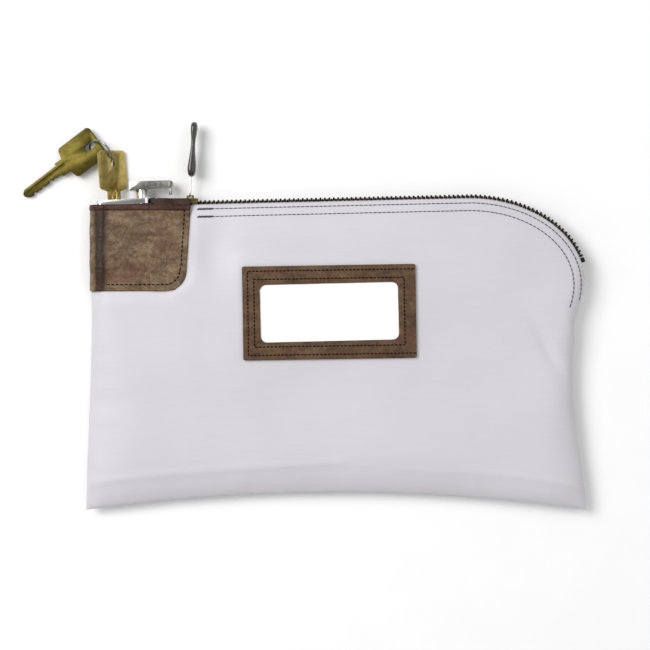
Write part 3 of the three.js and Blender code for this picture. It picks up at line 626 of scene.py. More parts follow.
# ---- shaping ---------------------------------------------------------------------------------
class Workshop:
    """Makes finished pieces out of bmeshes and seats them on the frame's bodies."""

    def __init__(self, frame: dict) -> None:
        """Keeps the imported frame.
        """
        self.frame = frame
        self.count = 0

    def piece(
        self, bm: bmesh.types.BMesh, name: str, material: bpy.types.Material, body: str, slot: str, replaces: Sequence[str] = (), smooth: float = 40.0
    ) -> bpy.types.Object:
        """Turns a bmesh in millimetres into a finished object on a body.

        Args:
            bm: The shape, which is freed.
            name: Name of the piece.
            material: Its finish.
            body: The body it moves with.
            slot: The record's material slot; not used.
            replaces: CAD nodes it stands for.
            smooth: Edges sharper than this many degrees stay crisp.

        Returns:
            The object.
        """
        bmesh.ops.scale(bm, vec=(MM, MM, MM), verts=bm.verts)
        mesh = bpy.data.meshes.new(name)
        bm.to_mesh(mesh)
        bm.free()
        mesh.polygons.foreach_set("use_smooth", [True] * len(mesh.polygons))
        mesh.set_sharp_from_angle(angle=math.radians(smooth))
        mesh.materials.append(material)
        obj = bpy.data.objects.new(name, mesh)
        bpy.context.scene.collection.objects.link(obj)
        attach(obj, body)
        if replaces:
            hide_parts(*replaces)
        self.count += 1
        LOG.info("%s: %d faces on %s", name, len(mesh.polygons), body)
        return obj

    def cad_copy(self, node: str) -> bmesh.types.BMesh:
        """Copies a CAD node as a clean closed bmesh in millimetres.

        Args:
            node: Name of the CAD node.

        Returns:
            The mesh.
        """
        bm = bmesh.new()
        bm.from_mesh(self.frame["nodes"][node].data)
        bmesh.ops.scale(bm, vec=(1000, 1000, 1000), verts=bm.verts)
        bmesh.ops.remove_doubles(bm, verts=bm.verts, dist=0.002)
        bmesh.ops.dissolve_limit(bm, angle_limit=math.radians(2), verts=bm.verts, edges=bm.edges)
        return bm

    def soften(self, bm: bmesh.types.BMesh, width: float, segments: int = 2, over: float = 50.0) -> None:
        """Rounds every edge that is sharper than an angle.

        Args:
            bm: The shape.
            width: Size of the rounding.
            segments: Steps across it.
            over: Least angle between faces, in degrees.
        """
        sharp = [e for e in bm.edges if e.is_manifold and e.calc_face_angle() > math.radians(over)]
        bmesh.ops.bevel(
            bm, geom=sharp, offset=width, offset_type="OFFSET", affect="EDGES", segments=segments, profile=0.5, material=-1, clamp_overlap=True
        )

    def rounded_copy(
        self, node: str, name: str, material: bpy.types.Material, body: str, slot: str, width: float, segments: int = 2
    ) -> bpy.types.Object:
        """Makes a piece from a CAD node with its edges softened, and hides the node.

        Args:
            node: Name of the CAD node.
            name: Name of the piece.
            material: Its finish.
            body: Body that it rides.
            slot: The record's material slot.
            width: Width.
            segments: Faces round each corner.

        Returns:
            The piece.
        """
        bm = self.cad_copy(node)
        self.soften(bm, width, segments)
        return self.piece(bm, name, material, body, slot, [node], 35.0)


def surface_grid(columns: int, rows: int, place: Callable[[float, float], Vector]) -> bmesh.types.BMesh:
    """Lays a grid on a surface.

    Args:
        columns: Faces across.
        rows: Faces up.
        place: Gives the point at a share across and a share up.

    Returns:
        The sheet, with a UV map of the two shares.
    """
    bm = bmesh.new()
    bm.loops.layers.uv.new("cloth")
    bmesh.ops.create_grid(bm, x_segments=columns, y_segments=rows, size=0.5, calc_uvs=True)
    for vertex in bm.verts:
        vertex.co = place(vertex.co.x + 0.5, vertex.co.y + 0.5)
    return bm


def rounded_ring(
    bm: bmesh.types.BMesh, width: float, height: float, radius: float, segments: int = 8
) -> list:
    """Draws a closed rounded rectangle of edges about the origin.

    Args:
        bm: Where it is drawn.
        width: Full size along X.
        height: Full size along Y.
        radius: Corner radius.
        segments: Edges round each corner.

    Returns:
        Its edges.
    """
    made = bmesh.ops.create_grid(bm, x_segments=1, y_segments=1, size=0.5)["verts"]
    for vertex in made:
        vertex.co = Vector((vertex.co.x * width, vertex.co.y * height, 0.0))
    face = made[0].link_faces[0]
    bmesh.ops.delete(bm, geom=[face], context="FACES_ONLY")
    before = set(bm.edges) - {e for v in made for e in v.link_edges}
    bmesh.ops.bevel(
        bm, geom=made, offset=radius, offset_type="OFFSET", affect="VERTICES", segments=segments, profile=0.5, material=-1
    )
    return [e for e in bm.edges if e not in before]


@dataclass
class MouthLine:
    """The line that the mouth follows: straight, then round its far end."""

    half_width: float = 139.5
    half_height: float = 88.0
    curve_width: float = 64.0
    curve_height: float = 48.0
    slope: float = 0.0227
    start: float = -80.5
    end_angle: float = 0.26
    table: list = field(default_factory=list)

    def __post_init__(self) -> None:
        """Measures the curved end."""
        self.centre = Vector(
            (self.half_width - 1 - self.curve_width, self.half_height - 2.5 - self.curve_height)
        )
        self.curve_start = math.pi / 2 + math.atan(self.slope * self.curve_width / self.curve_height)
        self.bend = self.on_curve(self.curve_start)
        self.straight = (self.bend.x - self.start) / math.cos(math.atan(self.slope))
        steps = 400
        total = 0.0
        last = self.bend
        self.table = [(0.0, self.curve_start)]
        for i in range(1, steps + 1):
            turn = self.curve_start * (1 - i / steps)
            here = self.on_curve(turn)
            total += (here - last).length
            last = here
            self.table.append((total, turn))

    def on_curve(self, turn: float) -> Vector:
        """Gives the point of the rounded end at an angle.

        Args:
            turn: Angle, in radians.

        Returns:
            The point.
        """
        return self.centre + Vector((self.curve_width * math.cos(turn), self.curve_height * math.sin(turn)))

    def line_y(self, x: float) -> float:
        """Gives the height of the straight mouth at x.

        Args:
            x: Place across, in millimetres.

        Returns:
            The measure.
        """
        return self.bend.y + (x - self.bend.x) * self.slope

    def point(self, along: float, height: float = 0.0) -> Vector:
        """Gives a point in X and Y.

        Args:
            along: Distance along the mouth from where the zip starts.
            height: Distance out of the mouth.

        Returns:
            The point.
        """
        if along <= self.straight:
            turn = math.atan(self.slope)
            tangent = Vector((math.cos(turn), math.sin(turn)))
            base = self.bend + tangent * (along - self.straight)
        elif along - self.straight > self.table[-1][0]:
            over = along - self.straight - self.table[-1][0]
            base = self.on_curve(0.0) + Vector((-0.012 * over * over, -over))
            tangent = Vector((-0.024 * over, -1.0)).normalized()
        else:
            left = along - self.straight
            low = next((i for i, (d, _) in enumerate(self.table) if d >= left), len(self.table) - 1)
            low = max(low, 1)
            (d0, a0), (d1, a1) = self.table[low - 1], self.table[low]
            turn = mix(a0, a1, min(1.0, (left - d0) / (d1 - d0)))
            base = self.on_curve(turn)
            tangent = Vector(
                (math.sin(turn) * self.curve_width, -math.cos(turn) * self.curve_height)
            ).normalized()
        return base + Vector((-tangent.y, tangent.x)) * height

    def zip_length(self) -> float:
        """Gives the distance along the mouth at which the zip stops.

        Returns:
            The measure.
        """
        return self.straight + next(d for d, turn in self.table if turn <= self.end_angle)


@dataclass
class BagShape:
    """The face of the bag: its outline and how far it bulges."""

    mouth: MouthLine
    roll: float = 26.0
    pouch_roll: float = 9.0
    rise: float = 10.0
    left_waist: float = 3.0
    right_waist: float = 7.0
    depth: float = 8.35
    mouth_half: float = 4.15

    def bottom(self, u: float) -> Vector:
        """Gives the bottom seam at a share across.

        Args:
            u: Share across.

        Returns:
            The point.
        """
        share = 2 * u - 1
        return Vector(
            (share * self.mouth.half_width, -self.mouth.half_height + self.rise * (1 - share * share))
        )

    def top(self, u: float) -> Vector:
        """Gives the mouth at a share across.

        Args:
            u: Share across.

        Returns:
            The point.
        """
        straight = 0.55
        if u < straight:
            x = mix(-self.mouth.half_width, self.mouth.bend.x, u / straight)
            return Vector((x, self.mouth.line_y(x)))
        return self.mouth.on_curve(self.mouth.curve_start * (1 - (u - straight) / (1 - straight)))

    def side(self, v: float, right: bool) -> Vector:
        """Gives a side seam at a share up.

        Args:
            v: Share up.
            right: Whether it is the right side.

        Returns:
            The point.
        """
        low, high = self.bottom(float(right)), self.top(float(right))
        waist, skew = (self.right_waist, 1.3) if right else (self.left_waist, 1.5)
        pull = waist * math.sin(math.pi * v**skew)
        if right:
            pull += 1.5 * math.exp(-(((v - 0.83) / 0.055) ** 2))
        return low.lerp(high, v) + Vector((-pull if right else pull, 0.0))

    def plan(self, u: float, v: float) -> Vector:
        """Gives a point of the face in X and Y.

        Args:
            u: Share across.
            v: Share up.

        Returns:
            The point.
        """
        flat = self.bottom(u) * (1 - v) + self.top(u) * v
        flat += self.side(v, False) * (1 - u) + self.side(v, True) * u
        corners = self.bottom(0.0) * ((1 - u) * (1 - v)) + self.bottom(1.0) * (u * (1 - v))
        corners += self.top(0.0) * ((1 - u) * v) + self.top(1.0) * (u * v)
        return flat - corners

    @staticmethod
    def roll_off(distance: float, roll: float) -> float:
        """Gives the height share at a distance from an edge.

        Args:
            distance: Distance, or depth of the relief.
            roll: Width of the roll-off.

        Returns:
            The measure.
        """
        rest = max(0.0, 1 - distance / roll)
        return math.sqrt(max(0.0, 1 - rest * rest))

    def height(self, u: float, v: float) -> float:
        """Gives how far the face stands from the seam.

        Args:
            u: Share across.
            v: Share up.

        Returns:
            The measure.
        """
        width, tall = 2 * self.mouth.half_width, 2 * self.mouth.half_height
        left = mix(self.roll, self.pouch_roll, smooth_step(v, 0.3, 0.72))
        sides = self.roll_off(u * width, left) * self.roll_off((1 - u) * width, self.roll)
        share = self.mouth_half / self.depth
        mouth = share + (1 - share) * self.roll_off((1 - v) * tall, self.roll)
        return self.depth * sides * self.roll_off(v * tall, self.roll) * mouth


# ---- stage -----------------------------------------------------------------------------------
@dataclass
class Studio:
    """Floor, lights and camera."""

    view_width: float = 362.7
    view_centre: tuple[float, float] = (-6.4, 15.1)
    distance: float = 1200.0

    def build(self) -> None:
        """Sets up the studio."""
        scene = bpy.context.scene
        scene.view_settings.view_transform = "Standard"
        self.lay_floor()
        self.set_world(scene)
        self.light("key_light", (-0.8, 0.42, 1.2), 0.8, 15.5)
        self.light("fill_light", (0.8, 0.1, 1.4), 1.4, 5.0)
        lens = bpy.data.cameras.new("camera")
        lens.sensor_width = 36.0
        lens.lens = lens.sensor_width * self.distance / self.view_width
        lens.clip_start = 0.02
        camera = bpy.data.objects.new("camera", lens)
        camera.location = (self.view_centre[0] * MM, self.view_centre[1] * MM, (self.distance + SEAM_Z) * MM)
        scene.collection.objects.link(camera)
        scene.camera = camera

    def lay_floor(self) -> None:
        """Lays a round pale floor."""
        bm = bmesh.new()
        bmesh.ops.create_circle(bm, cap_ends=True, radius=4.0, segments=64)
        mesh = bpy.data.meshes.new("floor")
        bm.to_mesh(mesh)
        bm.free()
        floor = bpy.data.objects.new("floor", mesh)
        floor.location = (0.0, 0.0, -0.0002)
        bench = NodeBench("pale_floor")
        grain = bench.noise(bench.coordinates((1.0, 1.0, 1.0)), 30.0, 3.0)
        color = bench.ramp(grain, [(0.3, (0.93, 0.93, 0.93)), (0.7, (0.95, 0.95, 0.95))])
        mesh.materials.append(bench.finish(color, 0.9, None, Specular_IOR_Level=0.1))
        bpy.context.scene.collection.objects.link(floor)

    def set_world(self, scene: bpy.types.Scene) -> None:
        """Surrounds everything with soft white light that darkens towards the floor.

        Args:
            scene: The scene.
        """
        world = bpy.data.worlds.new("studio_world")
        scene.world = world
        world.use_nodes = True
        tree = world.node_tree
        ground = tree.nodes["Background"]
        ground.inputs["Strength"].default_value = 0.5
        coords = tree.nodes.new("ShaderNodeTexCoord")
        split = tree.nodes.new("ShaderNodeSeparateXYZ")
        ramp = tree.nodes.new("ShaderNodeValToRGB")
        tree.links.new(coords.outputs["Generated"], split.inputs[0])
        tree.links.new(split.outputs["Z"], ramp.inputs["Fac"])
        tree.links.new(ramp.outputs["Color"], ground.inputs["Color"])
        elements = ramp.color_ramp.elements
        elements[0].position = 0.0
        elements[0].color = (0.62, 0.62, 0.63, 1.0)
        elements[1].position = 0.55
        elements[1].color = (1.0, 1.0, 1.0, 1.0)
        for place, tone in ((0.965, 1.0), (0.99, 0.45)):
            element = elements.new(place)
            element.color = (tone, tone, tone, 1.0)

    def light(self, name: str, place: tuple[float, float, float], size: float, power: float) -> None:
        """Hangs a soft square light that points at the bag.

        Args:
            name: Name of the light.
            place: Where it hangs, in metres.
            size: Length of a side, in metres.
            power: Watts.
        """
        lamp = bpy.data.lights.new(name, "AREA")
        lamp.size = size
        lamp.energy = power
        obj = bpy.data.objects.new(name, lamp)
        obj.location = place
        obj.rotation_euler = (-Vector(place)).to_track_quat("-Z", "Y").to_euler()
        bpy.context.scene.collection.objects.link(obj)


# ---- fabric ----------------------------------------------------------------------------------
@dataclass
class PouchOutline:
    """Outline of the leather pouch in X and Y."""

    left: float = -137.6
    right: float = -81.0
    top: float = 81.894
    height: float = 48.0
    corner: float = 12.0
    flare: float = 2.2

    @property
    def bottom(self) -> float:
        """Returns the pouch's lower edge."""
        return self.top - self.height

    def right_edge(self, y: float) -> float:
        """Gives where the free right edge runs at a height.

        Args:
            y: Height in the bag's frame.

        Returns:
            The edge's X.
        """
        low = self.bottom
        if y < low + self.corner:
            drop = self.corner - max(0.0, y - low)
            return self.right - self.flare - self.corner + math.sqrt(max(0.0, self.corner**2 - drop**2))
        share = (y - low - self.corner) / (self.height - self.corner)
        return self.right - self.flare * (1 - share)

    def inside(self, x: float, y: float, margin: float) -> float:
        """Gives how far a point lies inside the free edges, less a margin.

        Args:
            x: Place across, in millimetres.
            y: Place up, in millimetres.
            margin: What is taken off.

        Returns:
            The measure.
        """
        return min(self.right_edge(max(y, self.bottom)) - x, y - self.bottom) - margin


class Draper:
    """Finds the outer surface of a panel, to lay threads and trims on it."""

    def __init__(self, bm: bmesh.types.BMesh) -> None:
        """Keeps the surface of a bmesh in millimetres.

        Args:
            bm: The mesh.
        """
        self.tree = BVHTree.FromBMesh(bm)

    def drop(self, x: float, y: float, face: Face = Face.FRONT) -> tuple[Vector, Vector]:
        """Finds the surface above a point.

        Args:
            x: Place across, in millimetres.
            y: Place up.
            face: Side from which it is looked for.

        Returns:
            The point in millimetres and the outward normal.
        """
        start = Vector((x, y, 100.0 * face.value))
        place, normal, _, _ = self.tree.ray_cast(start, Vector((0, 0, -face.value)))
        if place is None:
            place, normal, _, _ = self.tree.find_nearest(Vector((x, y, SEAM_Z)))
        if normal.z * face.value < 0:
            normal = -normal
        return place, normal


@dataclass
class FabricBody:
    """The two sewn fabric panels."""

    shape: BagShape
    pouch: PouchOutline
    columns: int = 190
    rows: int = 112
    wall: float = 0.55
    window: tuple[float, float, float, float] = (-52.0, -3.8, 44.0, 48.2)
    drapers: dict = field(default_factory=dict)

    def build(self, shop: Workshop, looks: Finishes) -> None:
        """Makes both panels.

        Args:
            shop: The workshop.
            looks: The finishes.
        """
        for face in Face:
            self.panel(shop, looks, face)

    @staticmethod
    def spread(share: float) -> float:
        """Crowds the grid towards the edges.

        Args:
            share: How far between the two, from 0 to 1.

        Returns:
            The measure.
        """
        return mix(share, 0.5 - 0.5 * math.cos(math.pi * share), 0.8)

    def wrinkle(self, x: float, y: float, u: float, v: float, face: Face) -> float:
        """Gives the fine relief of the cloth: puckers along the seams and slow ripples.

        Args:
            x: Place across.
            y: Place up.
            u: Share across.
            v: Share up.
            face: Which face.

        Returns:
            Height to add.
        """
        seed = 3.1 if face is Face.FRONT else 17.4
        slow = noise.noise(Vector((x / 55.0, y / 38.0, seed))) * 1.3
        folds = noise.noise(Vector((x / 16.0 + y / 60.0, y / 42.0, seed + 5))) * 0.28
        hem = math.exp(-(((1 - v) * 176.0 - 4.5) / 5.0) ** 2)
        ruck = noise.noise(Vector((x / 3.6, y / 18.0, seed + 9))) * 0.22 * hem
        foot = math.exp(-((v * 176.0) / 14.0) ** 2)
        pucker = noise.noise(Vector((x / 7.0, y / 30.0, seed + 2))) * 0.5 * foot
        edge = math.exp(-(((1 - u) * 279.0) / 13.0) ** 2) + math.exp(-((u * 279.0) / 13.0) ** 2)
        side = noise.noise(Vector((x / 30.0, y / 8.0, seed + 4))) * 0.55 * edge
        crease_place = 17.0 + 3.0 * noise.noise(Vector((x / 60.0, 0.3, seed)))
        crease = math.exp(-((v * 176.0 - crease_place) / 2.6) ** 2) * 0.5
        hollow = -3.0 * math.exp(-(((x + 68.0) / 12.0) ** 2) - ((y - 57.0) / 18.0) ** 2)
        pinch = 1.6 * math.exp(-(((x - 118.0 + 0.5 * y) / 4.0) ** 2) - ((y - 2.0) / 16.0) ** 2)
        return slow + folds + ruck + pucker + side + crease + hollow - pinch

    def point(self, a: float, b: float, face: Face) -> Vector:
        """Gives a point of a panel from its grid shares.

        Args:
            a: First value, or share along the first way.
            b: Second value, or share along the second way.
            face: Which face.

        Returns:
            The point.
        """
        u, v = self.spread(a), self.spread(b)
        flat = self.shape.plan(u, v)
        rise = self.shape.height(u, v)
        calm = smooth_step(rise, 1.0, 4.0)
        rise -= 1.1 * calm * smooth_step(self.pouch.inside(flat.x, flat.y, 0.0), -6.0, 0.0)
        quiet = 1.0 - 0.8 * self.under_window(flat.x, flat.y)
        relief = self.wrinkle(flat.x, flat.y, u, v, face) * calm * quiet - 0.25 * calm
        if face is Face.BACK:
            relief = min(relief, 0.0)
        return Vector((flat.x, flat.y, SEAM_Z + face.value * (0.02 + rise + min(relief, 0.5))))

    def under_window(self, x: float, y: float) -> float:
        """Gives 1 under the window's frame, easing to 0 beyond it.

        Args:
            x: Place across, in millimetres.
            y: Place up, in millimetres.

        Returns:
            The measure.
        """
        x0, y0, x1, y1 = self.window
        out = max(x0 - x, x - x1, y0 - y, y - y1)
        return 1.0 - smooth_step(out, 0.0, 8.0)

    def panel(self, shop: Workshop, looks: Finishes, face: Face) -> bpy.types.Object:
        """Makes a panel.

        Args:
            shop: The workshop.
            looks: The finishes.
            face: Which face.

        Returns:
            The panel.
        """
        bm = surface_grid(self.columns, self.rows, lambda a, b: self.point(a, b, face))
        self.drapers[face] = Draper(bm)
        tucked = [v for v in bm.verts if self.pouch.inside(v.co.x, v.co.y, 2.2) > 0]
        bmesh.ops.delete(bm, geom=tucked, context="VERTS")
        if face is Face.BACK:
            bmesh.ops.reverse_faces(bm, faces=bm.faces)
        name = f"{face.name.lower()}_panel"
        obj = shop.piece(bm, f"fabric_{name}", looks.nylon, "bag", "nylon", [name], 80.0)
        wall = obj.modifiers.new("wall", "SOLIDIFY")
        wall.thickness = self.wall * MM
        wall.offset = -1.0
        return obj


@dataclass
class StitchRow:
    """A row of machine stitches along a path."""

    name: str
    path: list
    pitch: float = 2.5
    length: float = 2.42
    thread: float = 0.5
    sunk: float = 0.5
    lift: float = 0.14

    def build(
        self, shop: Workshop, material: bpy.types.Material, slot: str, surface: Callable[[Vector], tuple]
    ) -> bpy.types.Object:
        """Sews the row.

        Args:
            shop: The workshop.
            material: Thread finish.
            slot: The record's material slot.
            surface: Gives the surface point and normal under a point in X and Y.

        Returns:
            The row as one piece.
        """
        bm = bmesh.new()
        for middle, heading in self.places():
            seat, normal = surface(middle)
            across = normal.cross(Vector((heading.x, heading.y, 0.0))).normalized()
            along = across.cross(normal).normalized()
            turn = Matrix((along, across, normal)).transposed().to_4x4()
            made = bmesh.ops.create_uvsphere(bm, u_segments=8, v_segments=6, radius=1.0)["verts"]
            for vertex in made:
                x, y, z = vertex.co.z, vertex.co.y, vertex.co.x
                arch = (1 - x * x) * 0.12 - self.sunk * 0.3 * x**4
                vertex.co = Vector((x * self.length / 2, y * self.thread / 2, z * self.thread / 2 + arch))
            seat = seat + normal * self.lift
            bmesh.ops.transform(bm, matrix=Matrix.Translation(seat) @ turn, verts=made)
            for vertex in made:
                vertex.co.z = max(vertex.co.z, 0.02)
        return shop.piece(bm, self.name, material, "bag", slot, smooth=180.0)

    def places(self) -> list[tuple[Vector, Vector]]:
        """Spaces the stitches evenly along the path.

        Returns:
            The middle and heading of each stitch.
        """
        found = []
        carry = self.pitch / 2
        for a, b in zip(self.path, self.path[1:]):
            step = b - a
            reach = step.length
            if reach < 1e-6:
                continue
            while carry <= reach:
                found.append((a + step * (carry / reach), step / reach))
                carry += self.pitch
            carry -= reach
        return found


@dataclass
class MouthStitching:
    """The two topstitched rows along the mouth, with a bar tack where each begins."""

    mouth: MouthLine
    drops: tuple[float, float] = (2.6, 6.9)
    begin: float = 3.0

    def build(self, shop: Workshop, looks: Finishes, drapers: dict) -> None:
        """Sews both rows on both faces.

        Args:
            shop: The workshop.
            looks: The finishes.
            drapers: The surface of each face.
        """
        for face, draper in drapers.items():
            for row, drop in enumerate(self.drops):
                end = self.mouth.straight + self.mouth.table[-1][0] + (14.5 if row else 9.8)
                path = [self.mouth.point(s, -drop) for s in self.steps(self.begin, end)]
                name = f"{face.name.lower()}_mouth_stitches_{row + 1}"
                sew = lambda p, f=face, d=draper: d.drop(p.x, p.y, f)
                StitchRow(name, path).build(shop, looks.grey_thread, "tape", sew)
                tack = [
                    self.mouth.point(
                        self.begin + 0.6 * (i % 2) + 0.55 * (i // 2), -drop - 0.25 + 0.5 * (i % 2)
                    ) for i in range(32)
                ]
                StitchRow(
                    f"{face.name.lower()}_bar_tack_{row + 1}", tack, 0.8, 1.3, 0.4
                ).build(shop, looks.grey_thread, "tape", sew)

    @staticmethod
    def steps(low: float, high: float) -> list[float]:
        """Gives distances a millimetre apart.

        Args:
            low: Lower limit.
            high: Upper limit.

        Returns:
            The list of them.
        """
        count = int(high - low)
        return [low + (high - low) * i / count for i in range(count + 1)]


# ---- zip -------------------------------------------------------------------------------------
@dataclass
class Zip:
    """The zip's tapes, teeth and end stop."""

    mouth: MouthLine
    pitch: float = 2.47
    gap: float = 0.3
    tooth_height: float = 1.75
    half_width: float = 2.9
    reach: float = 0.85
    tilt: float = 0.13
    tape_outer: float = 3.0
    tape_leg: float = 12.0

    def build(self, shop: Workshop, looks: Finishes) -> None:
        """Makes the zip.

        Args:
            shop: The workshop.
            looks: The finishes.
        """
        for face in Face:
            side = face.name.lower()
            self.tape(shop, looks, face, f"zip_tape_{side}")
            self.teeth(shop, looks, face, f"zip_teeth_{side}")
        self.stop(shop, looks)

    def bend(self, bm: bmesh.types.BMesh) -> None:
        """Bends a shape made along X onto the mouth line.

        Args:
            bm: The mesh.
        """
        for vertex in bm.verts:
            if vertex.co.y > 0.1:
                vertex.co.y += self.tilt * vertex.co.z
            flat = self.mouth.point(vertex.co.x, vertex.co.y)
            vertex.co = Vector((flat.x, flat.y, SEAM_Z + vertex.co.z))

    def tape(self, shop: Workshop, looks: Finishes, face: Face, node: str) -> None:
        """Makes a woven tape that turns down inside the bag.

        Args:
            shop: The workshop.
            looks: The finishes.
            face: Which face.
            node: Name of the CAD node.
        """
        length = self.mouth.zip_length()
        run = self.tape_outer - 0.9
        total = run + self.tape_leg

        def place(a: float, b: float) -> Vector:
            """Gives a point of the tape, flat along X and turned down across.

            Args:
                a: First value, or share along the first way.
                b: Second value, or share along the second way.

            Returns:
                The point.
            """
            across = b * total
            curve = 0.9
            if across < run - curve:
                height, depth = 0.0, 0.9 + across
            elif across < run + curve:
                turn = (across - run + curve) / (2 * curve) * math.pi / 2
                height = -curve * (1 - math.cos(turn)) * 1.27
                depth = self.tape_outer - curve + curve * math.sin(turn)
            else:
                height, depth = -curve * 1.27 - (across - run - curve), self.tape_outer
            return Vector((a * length, height - 0.05, face.value * depth))

        bm = surface_grid(220, 20, place)
        self.bend(bm)
        if face is Face.FRONT:
            bmesh.ops.reverse_faces(bm, faces=bm.faces)
        bmesh.ops.recalc_face_normals(bm, faces=bm.faces)
        obj = shop.piece(bm, f"woven_{node}", looks.tape, "bag", "tape", [node], 60.0)
        wall = obj.modifiers.new("wall", "SOLIDIFY")
        wall.thickness = 0.5 * MM
        wall.offset = 0.0

    def tooth(self, bm: bmesh.types.BMesh, along: float, side: int) -> None:
        """Adds one tooth: a clamp on the tape's bead and a narrower head that meshes.

        Args:
            bm: Where it is added.
            along: Distance along the mouth.
            side: Side of the zip along Z.
        """
        made = bmesh.ops.create_cube(bm, size=1.0)["verts"]
        faces = {f for v in made for f in v.link_faces}
        head = max(faces, key=lambda f: -f.calc_center_median().z * side)
        root = self.half_width - 1.35
        for vertex in made:
            low = vertex.co.z * side < 0
            x, y = vertex.co.x, vertex.co.y
            wide = (1.2 if low else 1.95) * (0.5 if y > 0 else 1.0)
            tall = self.tooth_height * (0.86 if low else 1.0)
            vertex.co = Vector((x * wide, y * tall, side * (root if low else self.half_width)))
        arm = bmesh.ops.extrude_discrete_faces(bm, faces=[head])["faces"][0]
        tip = list(arm.verts)
        bmesh.ops.translate(bm, vec=(0, 0, -side * (root + self.reach)), verts=tip)
        bmesh.ops.scale(bm, vec=(0.9, 0.86, 1.0), verts=tip)
        every = list({v for v in made} | set(tip))
        rim = [e for v in every for e in v.link_edges if e.is_manifold and e.calc_face_angle() > 1.0]
        grown = bmesh.ops.bevel(
            bm, geom=list(set(rim)), offset=0.2, offset_type="OFFSET", affect="EDGES", segments=1, profile=0.5, material=-1, clamp_overlap=True
        )
        every = {v for v in every if v.is_valid} | set(grown["verts"])
        bmesh.ops.translate(bm, vec=(along, self.gap + self.tooth_height / 2, 0), verts=list(every))

    def teeth(self, shop: Workshop, looks: Finishes, face: Face, node: str) -> None:
        """Makes one side's row of teeth.

        Args:
            shop: The workshop.
            looks: The finishes.
            face: Which face.
            node: Name of the CAD node.
        """
        length = self.mouth.zip_length()
        count = int((length - 2 * self.pitch) / self.pitch)
        start = self.pitch * (1.5 if face is Face.FRONT else 1.0) + self.pitch / 2
        bm = bmesh.new()
        for i in range(count):
            self.tooth(bm, start + i * self.pitch, face.value)
        self.bend(bm)
        bmesh.ops.recalc_face_normals(bm, faces=bm.faces)
        shop.piece(bm, f"metal_{node}", looks.teeth, "bag", "teeth", [node], 30.0)

    def stop(self, shop: Workshop, looks: Finishes) -> None:
        """Makes the crimped stop at the zip's far end.

        Args:
            shop: The workshop.
            looks: The finishes.
        """
        end = self.mouth.zip_length()
        bm = bmesh.new()
        bmesh.ops.create_cube(bm, size=1.0)
        bmesh.ops.scale(bm, vec=(2.7, self.tooth_height, 2 * self.half_width), verts=bm.verts)
        bmesh.ops.bevel(
            bm, geom=list(bm.edges), offset=0.45, offset_type="OFFSET", affect="EDGES", segments=3, profile=0.5, material=-1
        )
        bmesh.ops.translate(bm, vec=(end - 1.35, self.gap + self.tooth_height / 2, 0), verts=bm.verts)
        self.bend(bm)
        shop.piece(bm, "crimped_end_stop", looks.teeth, "bag", "teeth", ["zip_end_stop"], 30.0)


